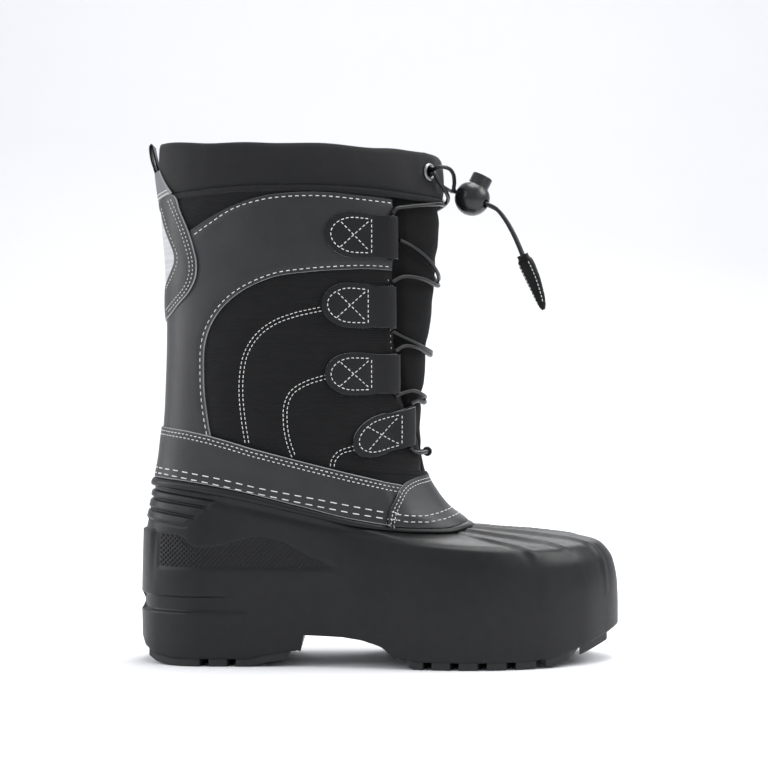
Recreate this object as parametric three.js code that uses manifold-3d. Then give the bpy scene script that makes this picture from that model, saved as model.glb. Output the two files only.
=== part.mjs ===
// Lace-up snow boot for the right foot: a moulded rubber shell with its treaded sole, an
// insulated leather and fabric upper, a gusset tongue, a drawcord collar, lace loops, an
// elastic lace and a cord lock. Millimetres, +Z up, +X towards the toe, +Y to the inner
// side of the foot. Tables count x from the back of the heel and z from the floor.
import * as THREE from 'three';
import { mergeVertices } from 'three/addons/utils/BufferGeometryUtils.js';
import Module from 'manifold-3d';

const wasm = await Module();
wasm.setup();

// ---- driving dimensions ----
const LENGTH = 286.5;
const UPPER_WALL = 5;
const SHELL_WALL = 4.5;
const GAP = 0.3;
const SEGMENTS = 36;
const OVERLAY = 2.1;
const OVERLAY_LIFT = 0.45;
const TONGUE_SINK = 0.8;
const TONGUE_THICK = 6;
const FLANGE_WALL = 1.8;
const FLANGE_RISE = 8;
const INSOLE_THICK = 5;
const INSOLE_PLAY = 1.5;
const LUG_GROOVE = { width: 5, depth: 4.5, angle: 0.3, reach: 70, inset: 9, toeFrom: 226, toeRise: 0.32 };
const LUG_PLACES = [38, 54, 172, 188, 204, 220, 236, 253];
const CORD = 2.4;
const CORD_SIDES = 8;
const EYELET = { x: 170, z: 289, hole: 3.2, barrel: 3.9, flange: 5.35, depth: 4.2, rim: 1.1 };
const TOGGLE = { x: 197.8, y: -4, z: 275.5, radius: 10.5, holeWide: 3.5, holeTall: 2.2 };
const BUTTON = { radius: 6.25, top: 15, bottom: -3.6, travel: 3, play: 0.35 };
const TAB = { length: 33, width: 12, thick: 3.6, turn: 0.32 };

// Boot form: one row per height with the back, the front, the half width and how far
// the front of the section leans to the inner side.
const FORM = [
  { z: 40, back: 2.0, front: 214, half: 44.5, lean: 6 },
  { z: 68, back: 3.2, front: 205, half: 43, lean: 5 },
  { z: 77, back: 3.9, front: 199.5, half: 42.5, lean: 4.5 },
  { z: 84, back: 4.8, front: 192.6, half: 42, lean: 4 },
  { z: 91.4, back: 5.7, front: 183.2, half: 41.7, lean: 3 },
  { z: 100.6, back: 7.0, front: 175.8, half: 41.5, lean: 2 },
  { z: 110.6, back: 9.3, front: 170.6, half: 41.5, lean: 1.5 },
  { z: 124, back: 12.0, front: 168.4, half: 41.8, lean: 1 },
  { z: 139, back: 14.2, front: 167.2, half: 42.4, lean: 0 },
  { z: 157.5, back: 15.6, front: 168.7, half: 43.4, lean: 0 },
  { z: 194, back: 16.9, front: 172.6, half: 46, lean: 0 },
  { z: 231, back: 16.2, front: 176.6, half: 48.2, lean: 0 },
  { z: 267, back: 13.6, front: 178.8, half: 49.3, lean: 0 },
  { z: 290, back: 12.5, front: 178.4, half: 49.2, lean: 0 },
  { z: 312, back: 12.2, front: 175.5, half: 48, lean: 0 },
];
const BACK_ROUND = 0.86;
const FRONT_ROUND = 0.94;

// Outline of the sole: centre line and half width at distances from the heel.
const SOLE = [
  { x: 0, centre: 0, half: 0 },
  { x: 12, centre: 0, half: 26.5 },
  { x: 38, centre: 0, half: 37.3 },
  { x: 70, centre: -0.8, half: 37.4 },
  { x: 105, centre: -3, half: 36 },
  { x: 140, centre: -4.5, half: 40.8 },
  { x: 175, centre: -4, half: 49.3 },
  { x: 205, centre: -1.5, half: 52.8 },
  { x: 235, centre: 2, half: 49 },
  { x: 262, centre: 6, half: 36.5 },
  { x: 277, centre: 8.5, half: 22 },
  { x: LENGTH, centre: 9.5, half: 0 },
];
const TOE_FAN = 0.65;

// Underside of the sole from the heel to the toe spring, with the upright heel breast.
const UNDERSIDE = [
  { x: -5, z: 24 }, { x: 0.6, z: 24 }, { x: 1.2, z: 11 }, { x: 3.9, z: 5.7 }, { x: 12, z: 1.3 },
  { x: 20, z: 0 }, { x: 66, z: 0 }, { x: 77, z: 2.6 }, { x: 96.5, z: 5.5 }, { x: 97, z: 18.6 },
  { x: 121, z: 17.7 }, { x: 132, z: 16.2 }, { x: 143, z: 12.8 }, { x: 148.5, z: 8.4 },
  { x: 156.7, z: 1.9 }, { x: 163, z: 0 }, { x: 226, z: 0 }, { x: 241, z: 1.3 },
  { x: 263, z: 7.3 }, { x: 276.6, z: 12.2 }, { x: 286.5, z: 16.6 }, { x: 295, z: 20.5 },
];

// Footbed inside the shell, which the insole lies on.
const FOOTBED = [
  { x: -5, z: 27 }, { x: 30, z: 26 }, { x: 70, z: 25.2 }, { x: 105, z: 23.6 },
  { x: 135, z: 20.6 }, { x: 165, z: 17 }, { x: 205, z: 15.8 }, { x: 240, z: 17.6 },
  { x: 270, z: 22.5 }, { x: 295, z: 28 },
];

// Rim of the shell, where the upper is sewn on.
const RIM = [
  { x: 0, z: 110 }, { x: 28, z: 107.4 }, { x: 60, z: 102 }, { x: 94, z: 93.8 },
  { x: 128, z: 85.2 }, { x: 160, z: 80.4 }, { x: 180, z: 79.6 }, { x: 196, z: 83.2 },
];

// Side of the shell from floor to rim: part of the height against part of the way in,
// for the steep walls and for the low toe.
const SHELL_RISE = [
  { rise: -0.02, wall: 0, toe: 0 }, { rise: 0.05, wall: 0, toe: 0 },
  { rise: 0.4, wall: 0, toe: 0 }, { rise: 0.56, wall: 0.14, toe: 0.005 },
  { rise: 0.74, wall: 0.36, toe: 0.035 },
  { rise: 0.86, wall: 0.66, toe: 0.11 }, { rise: 0.925, wall: 0.82, toe: 0.24 },
  { rise: 0.955, wall: 0.88, toe: 0.5 }, { rise: 0.98, wall: 0.95, toe: 0.8 },
  { rise: 1, wall: 1, toe: 1 },
];
const SHELL_LEVELS = [
  -0.02, 0.28, 0.3, 0.36, 0.38, 0.4, 0.56, 0.65, 0.72, 0.735, 0.8, 0.86, 0.9, 0.93, 0.965, 1,
];
const CAVITY_LEVELS = [-0.02, 0.4, 0.56, 0.7, 0.8, 0.87, 0.93, 1];
const RIM_DROP = 3;
const HEEL_BUMPER = { low: 42, high: 78.6, hold: 0.7, reach: 9 };
const HEEL_GROOVE = { low: 31.5, high: 40.5, deep: 2, reach: 70 };

// Bead on the rim and the flange behind the upper: out from the form, up from the rim.
const RIM_SECTION = [
  { out: -3, up: -7 }, { out: 0.6, up: -6.2 }, { out: 2.6, up: -4 }, { out: 2.4, up: -1.2 },
  { out: 0.8, up: 0 },
  { out: -UPPER_WALL - GAP, up: 0 }, { out: -UPPER_WALL - GAP, up: FLANGE_RISE },
  { out: -UPPER_WALL - GAP - FLANGE_WALL, up: FLANGE_RISE },
  { out: -UPPER_WALL - GAP - FLANGE_WALL, up: -3 },
];

// Seam between shaft and collar, and the top edge of the collar.
const SEAM = [
  { x: 0, z: 275 }, { x: 23, z: 275.9 }, { x: 65, z: 278.4 }, { x: 100, z: 278.8 },
  { x: 131, z: 277.6 }, { x: 154, z: 275.7 }, { x: 165, z: 274.8 }, { x: 185, z: 273.9 },
];
const COLLAR_TOP = [
  { x: 0, z: 306.8 }, { x: 16, z: 305.6 }, { x: 30, z: 303.9 }, { x: 60, z: 303.2 },
  { x: 85, z: 303.4 }, { x: 110, z: 302.8 }, { x: 145, z: 300.8 }, { x: 168, z: 298.6 },
  { x: 185, z: 296.5 },
];
const COLLAR_SECTION = [
  { out: 0.2, up: 0 }, { out: 1.8, up: 0.3 }, { out: 1.5, up: 0.78 }, { out: -0.6, up: 0.96 },
  { out: -2.6, up: 1 }, { out: -4.6, up: 0.96 }, { out: -6.4, up: 0.75 }, { out: -5.4, up: 0 },
];

// Front edge of the quarters beside the tongue, down to the top of the saddle.
const THROAT = [
  { x: 148.6, z: 300 }, { x: 149, z: 262 }, { x: 150.2, z: 190 }, { x: 154.8, z: 156.3 },
  { x: 160.6, z: 140.7 }, { x: 164.4, z: 133 }, { x: 166.5, z: 122 }, { x: 166.8, z: 112 },
];

// Lace loops from the top down: the round end, the fold that carries the lace, the
// height of the middle, half the height and the slope of the loop.
const LOOPS = [
  { round: 110.6, fold: 151.4, middle: 250, half: 13.2, slope: -0.05 },
  { round: 108.8, fold: 150.4, middle: 209.6, half: 13, slope: -0.04 },
  { round: 110.6, fold: 152.4, middle: 170.2, half: 12.2, slope: 0 },
  { round: 126.4, fold: 160.6, middle: 135, half: 12, slope: 0.3 },
];
const FOLD_DEPTH = 5.6;
const FOLD_THICK = 5.2;
const TUNNEL_RADIUS = 1.7;
const TUNNEL_LIFT = 2.9;

// Leather patch round the back of the shaft, seen from the side.
const PATCH = [
  { x: 5, z: 274.2 }, { x: 22.4, z: 274.8 }, { x: 25.8, z: 266.9 }, { x: 30.4, z: 255.6 },
  { x: 34.2, z: 243.6 }, { x: 35.7, z: 235.3 }, { x: 34.8, z: 226.8 }, { x: 31.2, z: 218.6 },
  { x: 25.8, z: 212 }, { x: 18.7, z: 203.5 }, { x: 5, z: 202 },
];
const PULL_TAB = [
  { x: 7.9, z: 279 }, { x: 9.9, z: 279 }, { x: 9.8, z: 291 }, { x: 7.4, z: 306.8 },
  { x: 6.2, z: 308 }, { x: 4.9, z: 307.4 }, { x: 4.7, z: 305.4 }, { x: 7.4, z: 291 },
];
const PULL_TAB_WIDTH = 19;

// ---- numbers from tables ----
function smoothTable(rows, key) {
  const keys = rows.map((row) => row[key]);
  const names = Object.keys(rows[0]).filter((name) => name !== key);
  const steps = keys.slice(1).map((value, i) => value - keys[i]);
  const slope = (name, i) => {
    const rise = (j) => (rows[j + 1][name] - rows[j][name]) / steps[j];
    if (i === 0) return rise(0);
    if (i === keys.length - 1) return rise(i - 1);
    if (rise(i - 1) * rise(i) <= 0) return 0;
    return (2 * rise(i - 1) * rise(i)) / (rise(i - 1) + rise(i));
  };
  return (value) => {
    const at = Math.min(Math.max(value, keys[0]), keys[keys.length - 1]);
    let i = 0;
    while (i < steps.length - 1 && at > keys[i + 1]) i += 1;
    const t = (at - keys[i]) / steps[i];
    const result = {};
    for (const name of names) {
      const a = rows[i][name];
      const b = rows[i + 1][name];
      const ma = slope(name, i) * steps[i];
      const mb = slope(name, i + 1) * steps[i];
      result[name] = a * (1 + 2 * t) * (1 - t) ** 2 + ma * t * (1 - t) ** 2
        + b * t * t * (3 - 2 * t) + mb * t * t * (t - 1);
    }
    return result;
  };
}

function easeStep(from, to, value) {
  const t = Math.min(Math.max((value - from) / (to - from), 0), 1);
  return t * t * (3 - 2 * t);
}

const formAt = smoothTable(FORM, 'z');
const rimAt = smoothTable(RIM, 'x');
const seamAt = smoothTable(SEAM, 'x');
const topAt = smoothTable(COLLAR_TOP, 'x');
const riseAt = smoothTable(SHELL_RISE, 'rise');
const endAngle = (part) => Math.acos(1 - 2 * Math.min(Math.max(part, 0), 1));
const soleRows = SOLE.map(({ x, centre, half }) => ({ angle: endAngle(x / LENGTH), centre, half }));
const soleAt = smoothTable(soleRows, 'angle');

// A turn of 0 is the back of the boot, half a turn is the front, and the outer side
// comes between them. The part along the boot runs from 0 at the back to 1 in front.
const partOf = (turn) => (1 - Math.cos(turn)) / 2;

function pushOut(plan, turn, out) {
  const [x, y] = plan(turn);
  if (out === 0) return [x, y];
  const step = 0.004;
  const [xa, ya] = plan(turn - step);
  const [xb, yb] = plan(turn + step);
  const size = Math.hypot(xb - xa, yb - ya);
  return [x + out * (yb - ya) / size, y - out * (xb - xa) / size];
}

function formPoint(z, turn, out = 0) {
  const row = formAt(z);
  const plan = (angle) => {
    const part = partOf(angle);
    const roundness = BACK_ROUND + (FRONT_ROUND - BACK_ROUND) * part;
    const reach = Math.abs(Math.sin(angle)) ** roundness * Math.sign(Math.sin(angle));
    return [row.back + (row.front - row.back) * part, row.lean * part - row.half * reach];
  };
  const [x, y] = pushOut(plan, turn, out);
  return new THREE.Vector3(x, y, z);
}

// Point of the form at a distance x from the heel, on the outer (-1) or inner (1) side.
function onForm(x, z, side, out = 0) {
  const row = formAt(z);
  const turn = endAngle((x - row.back) / (row.front - row.back));
  return formPoint(z, side < 0 ? turn : 2 * Math.PI - turn, out);
}

function solePoint(turn, out = 0) {
  const plan = (angle) => {
    const part = partOf(angle);
    const x = LENGTH * (TOE_FAN * part + (1 - TOE_FAN) * part ** 3);
    const row = soleAt(endAngle(x / LENGTH));
    return [x, row.centre - row.half * Math.sign(Math.sin(angle))];
  };
  return pushOut(plan, turn, out);
}

function rimPoint(turn, out, up) {
  let z = 90;
  for (let round = 0; round < 12; round += 1) z = rimAt(formPoint(z, turn).x).z;
  return formPoint(z + up, turn, out);
}

function shellPoint(level, turn, relief) {
  const rim = rimPoint(turn, 0, -RIM_DROP);
  const z = rim.z * level;
  const part = partOf(turn);
  const { wall, toe } = riseAt(level);
  let inward = wall + (toe - wall) * easeStep(0.5, 0.86, part);
  let out = 0;
  const [x] = solePoint(turn);
  if (relief) {
    const { low, high, hold, reach } = HEEL_BUMPER;
    if (z > low && z < high) inward *= 1 - hold * (1 - easeStep(reach - 3, reach, x));
    if (z > HEEL_GROOVE.low && z < HEEL_GROOVE.high) {
      out -= HEEL_GROOVE.deep * (1 - easeStep(HEEL_GROOVE.reach - 30, HEEL_GROOVE.reach, x));
    }
  }
  const [edgeX, edgeY] = solePoint(turn, out);
  const px = edgeX + (rim.x - edgeX) * inward;
  const py = edgeY + (rim.y - edgeY) * inward;
  return new THREE.Vector3(px, py, z);
}

function shellInside(level, turn) {
  const step = 0.01;
  const here = shellPoint(level, turn, false);
  const along = shellPoint(level, turn + step, false).sub(shellPoint(level, turn - step, false));
  const lower = Math.max(level - step, 0);
  const upper = Math.min(level + step, 1);
  const upward = shellPoint(upper, turn, false).sub(shellPoint(lower, turn, false));
  return here.addScaledVector(along.cross(upward).normalize(), -SHELL_WALL);
}

// ---- solids ----
function solidFrom(geometry) {
  const bare = geometry.clone();
  bare.deleteAttribute('normal');
  bare.deleteAttribute('uv');
  const merged = mergeVertices(bare, 1e-4);
  return new wasm.Manifold(new wasm.Mesh({
    numProp: 3,
    vertProperties: new Float32Array(merged.attributes.position.array),
    triVerts: new Uint32Array(merged.index.array),
  }));
}

function geometryFrom(solid) {
  const mesh = solid.getMesh();
  const geometry = new THREE.BufferGeometry();
  geometry.setAttribute('position', new THREE.BufferAttribute(new Float32Array(mesh.vertProperties), 3));
  geometry.setIndex(new THREE.BufferAttribute(new Uint32Array(mesh.triVerts), 1));
  return geometry;
}

function skin(points, triangles) {
  const corner = (i) => points[i];
  let volume = 0;
  const normal = new THREE.Vector3();
  for (const [a, b, c] of triangles) {
    volume += corner(a).dot(normal.crossVectors(corner(b), corner(c)));
  }
  const facing = volume > 0 ? triangles : triangles.map(([a, b, c]) => [a, c, b]);
  const geometry = new THREE.BufferGeometry().setFromPoints(points);
  geometry.setIndex(facing.flat());
  return solidFrom(geometry);
}

function band(rings, i, j, triangles) {
  const count = rings[0].length;
  for (let k = 0; k < count; k += 1) {
    const next = (k + 1) % count;
    triangles.push([i * count + k, i * count + next, j * count + next]);
    triangles.push([i * count + k, j * count + next, j * count + k]);
  }
}

// Rings of points stacked into a solid with flat ends.
function stack(rings) {
  const triangles = [];
  for (let i = 0; i < rings.length - 1; i += 1) band(rings, i, i + 1, triangles);
  const points = rings.flat();
  const count = rings[0].length;
  for (const [start, flip] of [[0, false], [(rings.length - 1) * count, true]]) {
    const centre = new THREE.Vector3();
    for (let k = 0; k < count; k += 1) centre.addScaledVector(points[start + k], 1 / count);
    points.push(centre);
    for (let k = 0; k < count; k += 1) {
      const pair = [start + k, start + (k + 1) % count];
      triangles.push(flip ? [...pair, points.length - 1] : [...pair.reverse(), points.length - 1]);
    }
  }
  return skin(points, triangles);
}

// Rings of points joined round into a hollow band.
function hoop(rings) {
  const triangles = [];
  for (let i = 0; i < rings.length; i += 1) band(rings, i, (i + 1) % rings.length, triangles);
  return skin(rings.flat(), triangles);
}

const turns = Array.from({ length: SEGMENTS }, (_, k) => (2 * Math.PI * k) / SEGMENTS);
const ringOf = (place) => turns.map((turn) => place(turn));

function formSolid(out, low, high) {
  const rows = FORM.flatMap(({ z }, i) => (i ? [(FORM[i - 1].z + z) / 2, z] : [z]));
  const levels = rows.filter((z) => z > low && z < high);
  return stack([low, ...levels, high].map((z) => ringOf((turn) => formPoint(z, turn, out))));
}

// A side view outline (x, z) pushed through the boot between two values of y.
function sideCut(rows, from = -100, to = 100) {
  const shape = new THREE.Shape(rows.map(({ x, z }) => new THREE.Vector2(x, z)));
  const geometry = new THREE.ExtrudeGeometry(shape, { depth: to - from, bevelEnabled: false });
  geometry.rotateX(Math.PI / 2);
  geometry.translate(0, to, 0);
  return solidFrom(geometry);
}

function boxSolid(size, place, turnZ = 0) {
  const geometry = new THREE.BoxGeometry(...size);
  geometry.rotateZ(turnZ);
  geometry.translate(...place);
  return solidFrom(geometry);
}

function cordSolid(points, sides = CORD_SIDES, radius = CORD / 2) {
  const path = new THREE.CatmullRomCurve3(points);
  const corners = Array.from({ length: sides }, (_, k) => {
    const angle = (2 * Math.PI * k) / sides;
    return new THREE.Vector2(radius * Math.cos(angle), radius * Math.sin(angle));
  });
  const steps = Math.max(3, Math.round(path.getLength() / (3 * CORD)));
  const options = { steps, extrudePath: path, bevelEnabled: false };
  return solidFrom(new THREE.ExtrudeGeometry(new THREE.Shape(corners), options));
}

// ---- sole and shell ----
function makeShell() {
  const outside = stack(SHELL_LEVELS.map((level) => ringOf((turn) => shellPoint(level, turn, true))));
  const insideRings = CAVITY_LEVELS.map((level) => ringOf((turn) => shellInside(level, turn)));
  insideRings.push(ringOf((turn) => shellInside(1, turn).add(new THREE.Vector3(0, 0, 20))));
  const aboveBed = sideCut([...FOOTBED, { x: 295, z: 200 }, { x: -5, z: 200 }]);
  const cavity = stack(insideRings).intersect(aboveBed);
  const bead = hoop(RIM_SECTION.map(({ out, up }) => ringOf((turn) => rimPoint(turn, out, up))));
  const belowSole = sideCut([...UNDERSIDE, { x: 295, z: -20 }, { x: -5, z: -20 }]);
  let shell = outside.subtract(cavity).add(bead).subtract(belowSole);
  const { width, depth, angle, reach, inset, toeFrom, toeRise } = LUG_GROOVE;
  for (const x of LUG_PLACES) {
    const height = 2 * depth + Math.max(x - toeFrom, 0) * toeRise;
    for (const side of [-1, 1]) {
      const place = [x, side * (reach / 2 + inset), 0];
      shell = shell.subtract(boxSolid([width, reach, height], place, side * angle));
    }
  }
  return shell;
}

function makeInsole() {
  const inset = -(SHELL_WALL + INSOLE_PLAY);
  const walls = stack([0, 80].map((z) => ringOf((turn) => {
    const [x, y] = solePoint(turn, inset);
    return new THREE.Vector3(x, y, z);
  })));
  const under = FOOTBED.map(({ x, z }) => ({ x, z: z + GAP }));
  const over = FOOTBED.map(({ x, z }) => ({ x, z: z + GAP + INSOLE_THICK })).reverse();
  return walls.intersect(sideCut([...under, ...over]));
}

// ---- upper, tongue and collar ----
const UPPER_LEVELS = [0, 0.05, 0.09, 0.13, 0.18, 0.23, 0.28, 0.34, 0.42, 0.56, 0.76, 1];
const LINING_LEVELS = [1, 0.56, 0.34, 0.18, 0];

function shaftPoint(level, turn, out) {
  const low = rimPoint(turn, 0, GAP).z;
  const high = seamAt(formPoint(280, turn).x).z;
  return formPoint(low + (high - low) * level, turn, out);
}

const frontCut = (shift, low) => sideCut([
  ...THROAT.map(({ x, z }) => ({ x: x + shift, z: Math.max(z, low) })),
  { x: 240, z: low }, { x: 240, z: 300 },
]);

function makeUpper() {
  const outer = UPPER_LEVELS.map((level) => ringOf((turn) => shaftPoint(level, turn, 0)));
  const inner = LINING_LEVELS.map((level) => ringOf((turn) => shaftPoint(level, turn, -UPPER_WALL)));
  return hoop([...outer, ...inner]).subtract(frontCut(0, THROAT.at(-1).z));
}

function makeTongue() {
  const outer = -TONGUE_SINK;
  const inner = outer - TONGUE_THICK;
  const outside = UPPER_LEVELS.map((level) => ringOf((turn) => shaftPoint(level, turn, outer)));
  const inside = LINING_LEVELS.map((level) => ringOf((turn) => shaftPoint(level, turn, inner)));
  return hoop([...outside, ...inside]).intersect(frontCut(0.4, THROAT.at(-1).z + GAP));
}

function eyeletFrame(side) {
  const face = onForm(EYELET.x, EYELET.z, side, 1.8 + GAP);
  const normal = onForm(EYELET.x, EYELET.z, side, 1).sub(onForm(EYELET.x, EYELET.z, side, 0));
  return { face, normal: normal.normalize() };
}

// A turned profile (radius, height) with its axis along a direction.
function turned(profile, place, axis, sides) {
  const points = profile.map(([radius, height]) => new THREE.Vector2(radius, height));
  const geometry = new THREE.LatheGeometry(points, sides);
  const turn = new THREE.Quaternion().setFromUnitVectors(new THREE.Vector3(0, 1, 0), axis);
  geometry.applyQuaternion(turn);
  geometry.translate(place.x, place.y, place.z);
  return solidFrom(geometry);
}

function makeCollar() {
  const rings = COLLAR_SECTION.map(({ out, up }) => ringOf((turn) => {
    const { x } = formPoint(295, turn);
    const low = seamAt(x).z + GAP;
    return formPoint(low + (topAt(x).z - low) * up, turn, out);
  }));
  let collar = hoop(rings);
  for (const side of [-1, 1]) {
    const { face, normal } = eyeletFrame(side);
    const hole = EYELET.barrel + GAP + 0.1;
    const pocket = [[0, -EYELET.depth - 1.2], [hole, -EYELET.depth - 1.2], [hole, 6], [0, 6]];
    collar = collar.subtract(turned(pocket, face, normal, 14));
  }
  return collar;
}

function makeEyelet(side) {
  const { face, normal } = eyeletFrame(side);
  const { hole, barrel, flange, depth, rim } = EYELET;
  const profile = [
    [hole, -depth], [barrel, -depth], [barrel, 0], [flange, 0], [flange, rim * 0.6],
    [flange - 0.6, rim], [hole + 0.6, rim], [hole, rim * 0.5], [hole, -depth],
  ];
  return turned(profile, face, normal, 14);
}

// ---- leather pieces on the shaft ----
function overlay(cutter, low, high, thick = OVERLAY) {
  const outer = formSolid(OVERLAY_LIFT + thick, low, high);
  return outer.subtract(formSolid(OVERLAY_LIFT, low - 5, high + 5)).intersect(cutter);
}

function loopOutline({ round, fold, middle, half, slope }, foldOnly) {
  const flatStart = round + half * 1.25;
  const rows = [];
  const lift = (x) => middle + slope * (x - (round + fold) / 2);
  if (foldOnly) {
    rows.push({ x: fold - FOLD_DEPTH, z: lift(fold) + half * 0.92 });
    rows.push({ x: fold - FOLD_DEPTH, z: lift(fold) - half * 0.92 });
  } else {
    const steps = 6;
    for (let i = 0; i <= steps; i += 1) {
      const angle = Math.PI / 2 + (Math.PI * i) / steps;
      const x = flatStart + Math.cos(angle) * half * 1.25;
      rows.push({ x, z: lift(x) + Math.sin(angle) * half });
    }
  }
  rows.push({ x: fold, z: lift(fold) - half * 0.92 });
  rows.push({ x: fold, z: lift(fold) + half * 0.92 });
  return rows;
}

function makeLoop(row, side) {
  const [from, to] = side < 0 ? [-100, 0] : [0, 100];
  const low = row.middle - 24;
  const high = row.middle + 24;
  const flat = overlay(sideCut(loopOutline(row, false), from, to), low, high);
  const fold = overlay(sideCut(loopOutline(row, true), from, to), low, high, FOLD_THICK);
  const axis = [-16, 16].map((rise) => {
    const x = row.fold - FOLD_DEPTH / 2;
    return onForm(x, row.middle + rise, side, TUNNEL_LIFT + OVERLAY_LIFT);
  });
  return flat.add(fold).subtract(cordSolid(axis, 8, TUNNEL_RADIUS));
}

// ---- lace ----
// Places on the form: x from the heel, z, side and distance out from the form.
const LACE = {
  lace_cross_12: [
    [[152.9, 248, -1, 2.2], [160, 245, -1, 1.3], [169, 238.4, -1, 1.4], [175.4, 230.4, -1, 1.6],
      [175, 226.4, 1, 1.8], [166, 227.4, 1, 1.6], [155, 227, 1, 2.2], [148, 223.6, 1, 3.2]],
    [[148, 223.6, -1, 3.2], [155, 227, -1, 2.2], [166, 226.2, -1, 1.6], [175.4, 223, -1, 1.6],
      [175, 226.4, 1, 1.8], [168, 238.4, 1, 1.6], [160, 245, 1, 1.3], [152.9, 248, 1, 2.2]],
  ],
  lace_cross_23: [
    [[148, 195.2, -1, 3.2], [153, 192.6, -1, 2.2], [162, 188.6, -1, 1.4], [171, 184, -1, 1.6],
      [170.6, 184, 1, 1.8], [163, 187, 1, 1.6], [155, 186.6, 1, 2.2], [149.8, 183.4, 1, 3.2]],
    [[149.8, 183.4, -1, 3.2], [155, 186.6, -1, 2.2], [163, 186, -1, 1.6], [171.2, 181.6, -1, 1.6],
      [170.6, 184, 1, 1.8], [162, 188.6, 1, 1.6], [153, 192.6, 1, 2.2], [148, 195.2, 1, 3.2]],
  ],
  lace_cross_34: [
    [[149.8, 157, -1, 3.2], [155, 159.4, -1, 2.2], [161, 160.4, -1, 1.6], [167.4, 157.4, -1, 1.6],
      [166.8, 155.6, 1, 1.8], [163, 154.6, 1, 1.8], [158.4, 152.8, 1, 3.4]],
    [[158.4, 152.8, -1, 3.4], [163, 154.6, -1, 1.8], [167.4, 153.2, -1, 1.6],
      [166.8, 155.6, 1, 1.8], [161, 160.4, 1, 1.6], [155, 159.4, 1, 2.2], [149.8, 157, 1, 3.2]],
  ],
  lace_bar_bottom: [
    [[157.6, 127, -1, 3.4], [160.4, 124.4, -1, 2.8], [165, 123.6, -1, 2.6], [168, 124, -1, 2.6],
      [168, 124, 1, 2.6], [165, 123.6, 1, 2.6], [160.4, 124.4, 1, 2.8], [157.6, 127, 1, 3.4]],
  ],
};

// The two ends of the lace cross at the top and go up into the eyelets.
const LACE_ENDS = [
  { eyelet: 1, places: [[148.6, 262.6, -1, 3.2], [150.6, 266, -1, 3], [157, 267.6, -1, 1.8],
    [166, 269.2, -1, 1.7], [175, 270.8, -1, 2], [178.6, 272.4, 1, 3], [175.4, 277, 1, 4.8],
    [172, 283, 1, 5.4]] },
  { eyelet: -1, places: [[148.6, 262.6, 1, 3.2], [150.6, 266, 1, 3], [157, 267.2, 1, 1.8],
    [168, 268.2, 1, 2], [178.6, 272.4, 1, 3], [178.4, 275.4, -1, 5], [175.8, 279.4, -1, 5.6],
    [172.4, 284, -1, 5.6]] },
];

// Place on the middle line of an eyelet, above or below it by half the room of two cords.
function eyeletPlace(side, out, above) {
  const { face, normal } = eyeletFrame(side);
  const place = face.clone().addScaledVector(normal, out);
  place.z += above * (CORD / 2 + GAP / 2);
  return place;
}

function joinStrands(strands) {
  return strands.map((places) => cordSolid(places)).reduce((all, strand) => all.add(strand));
}

const makeLace = (strands) => joinStrands(strands.map((rows) => rows.map((row) => onForm(...row))));

const makeLaceTop = () => joinStrands(LACE_ENDS.map(({ eyelet, places }) => [
  ...places.map((row) => onForm(...row)), eyeletPlace(eyelet, 3.2, -0.9), eyeletPlace(eyelet, -1.4, -0.9),
]));

// Tube on the middle of the lowest bar of the lace.
const KEEPER = { inner: 1.75, outer: 2.9, length: 8, z: 124, out: 2.6 };

function makeKeeper() {
  const { inner, outer, length, z, out } = KEEPER;
  const profile = [
    [inner, -length / 2], [outer, -length / 2], [outer, length / 2], [inner, length / 2],
    [inner, -length / 2],
  ];
  const place = formPoint(z, Math.PI, out);
  return turned(profile, place, new THREE.Vector3(0, 1, 0), 10);
}

// ---- cord lock and drawcord ----
const ALONG = new THREE.Vector3(0.82, -0.42, -0.38).normalize();
const PRESS_UP = new THREE.Vector3(0.5, 0, 0.866);
PRESS_UP.addScaledVector(ALONG, -PRESS_UP.dot(ALONG)).normalize();
const ACROSS = new THREE.Vector3().crossVectors(PRESS_UP, ALONG);
const TOGGLE_PLACE = new THREE.Vector3(TOGGLE.x, TOGGLE.y, TOGGLE.z);
const CORD_SPREAD = CORD / 2 + GAP;

const cylinderAlongX = (radius, length, sides) => {
  const geometry = new THREE.CylinderGeometry(radius, radius, length, sides);
  return geometry.rotateZ(Math.PI / 2);
};
const cylinderAlongZ = (radius, low, high, sides) => {
  const geometry = new THREE.CylinderGeometry(radius, radius, high - low, sides);
  return geometry.rotateX(Math.PI / 2).translate(0, 0, (low + high) / 2);
};

// In the lock's own axes the cords run along X and the button is pressed down Z.
function makeToggleBody() {
  const ball = solidFrom(new THREE.SphereGeometry(TOGGLE.radius, 16, 8));
  const low = BUTTON.bottom - BUTTON.travel - 0.4;
  const pocket = solidFrom(cylinderAlongZ(BUTTON.radius + BUTTON.play, low, 14, 18));
  const hole = cylinderAlongX(1, 40, 12).scale(1, TOGGLE.holeWide, TOGGLE.holeTall);
  return ball.subtract(pocket).subtract(solidFrom(hole));
}

function makeToggleButton() {
  const stem = solidFrom(cylinderAlongZ(BUTTON.radius, BUTTON.bottom, BUTTON.top, 18));
  const slotHigh = TOGGLE.holeTall + BUTTON.travel;
  const slotTall = TOGGLE.holeTall + slotHigh;
  const slot = boxSolid([40, 2 * TOGGLE.holeWide, slotTall], [0, 0, slotHigh - slotTall / 2]);
  return stem.subtract(slot);
}

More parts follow.
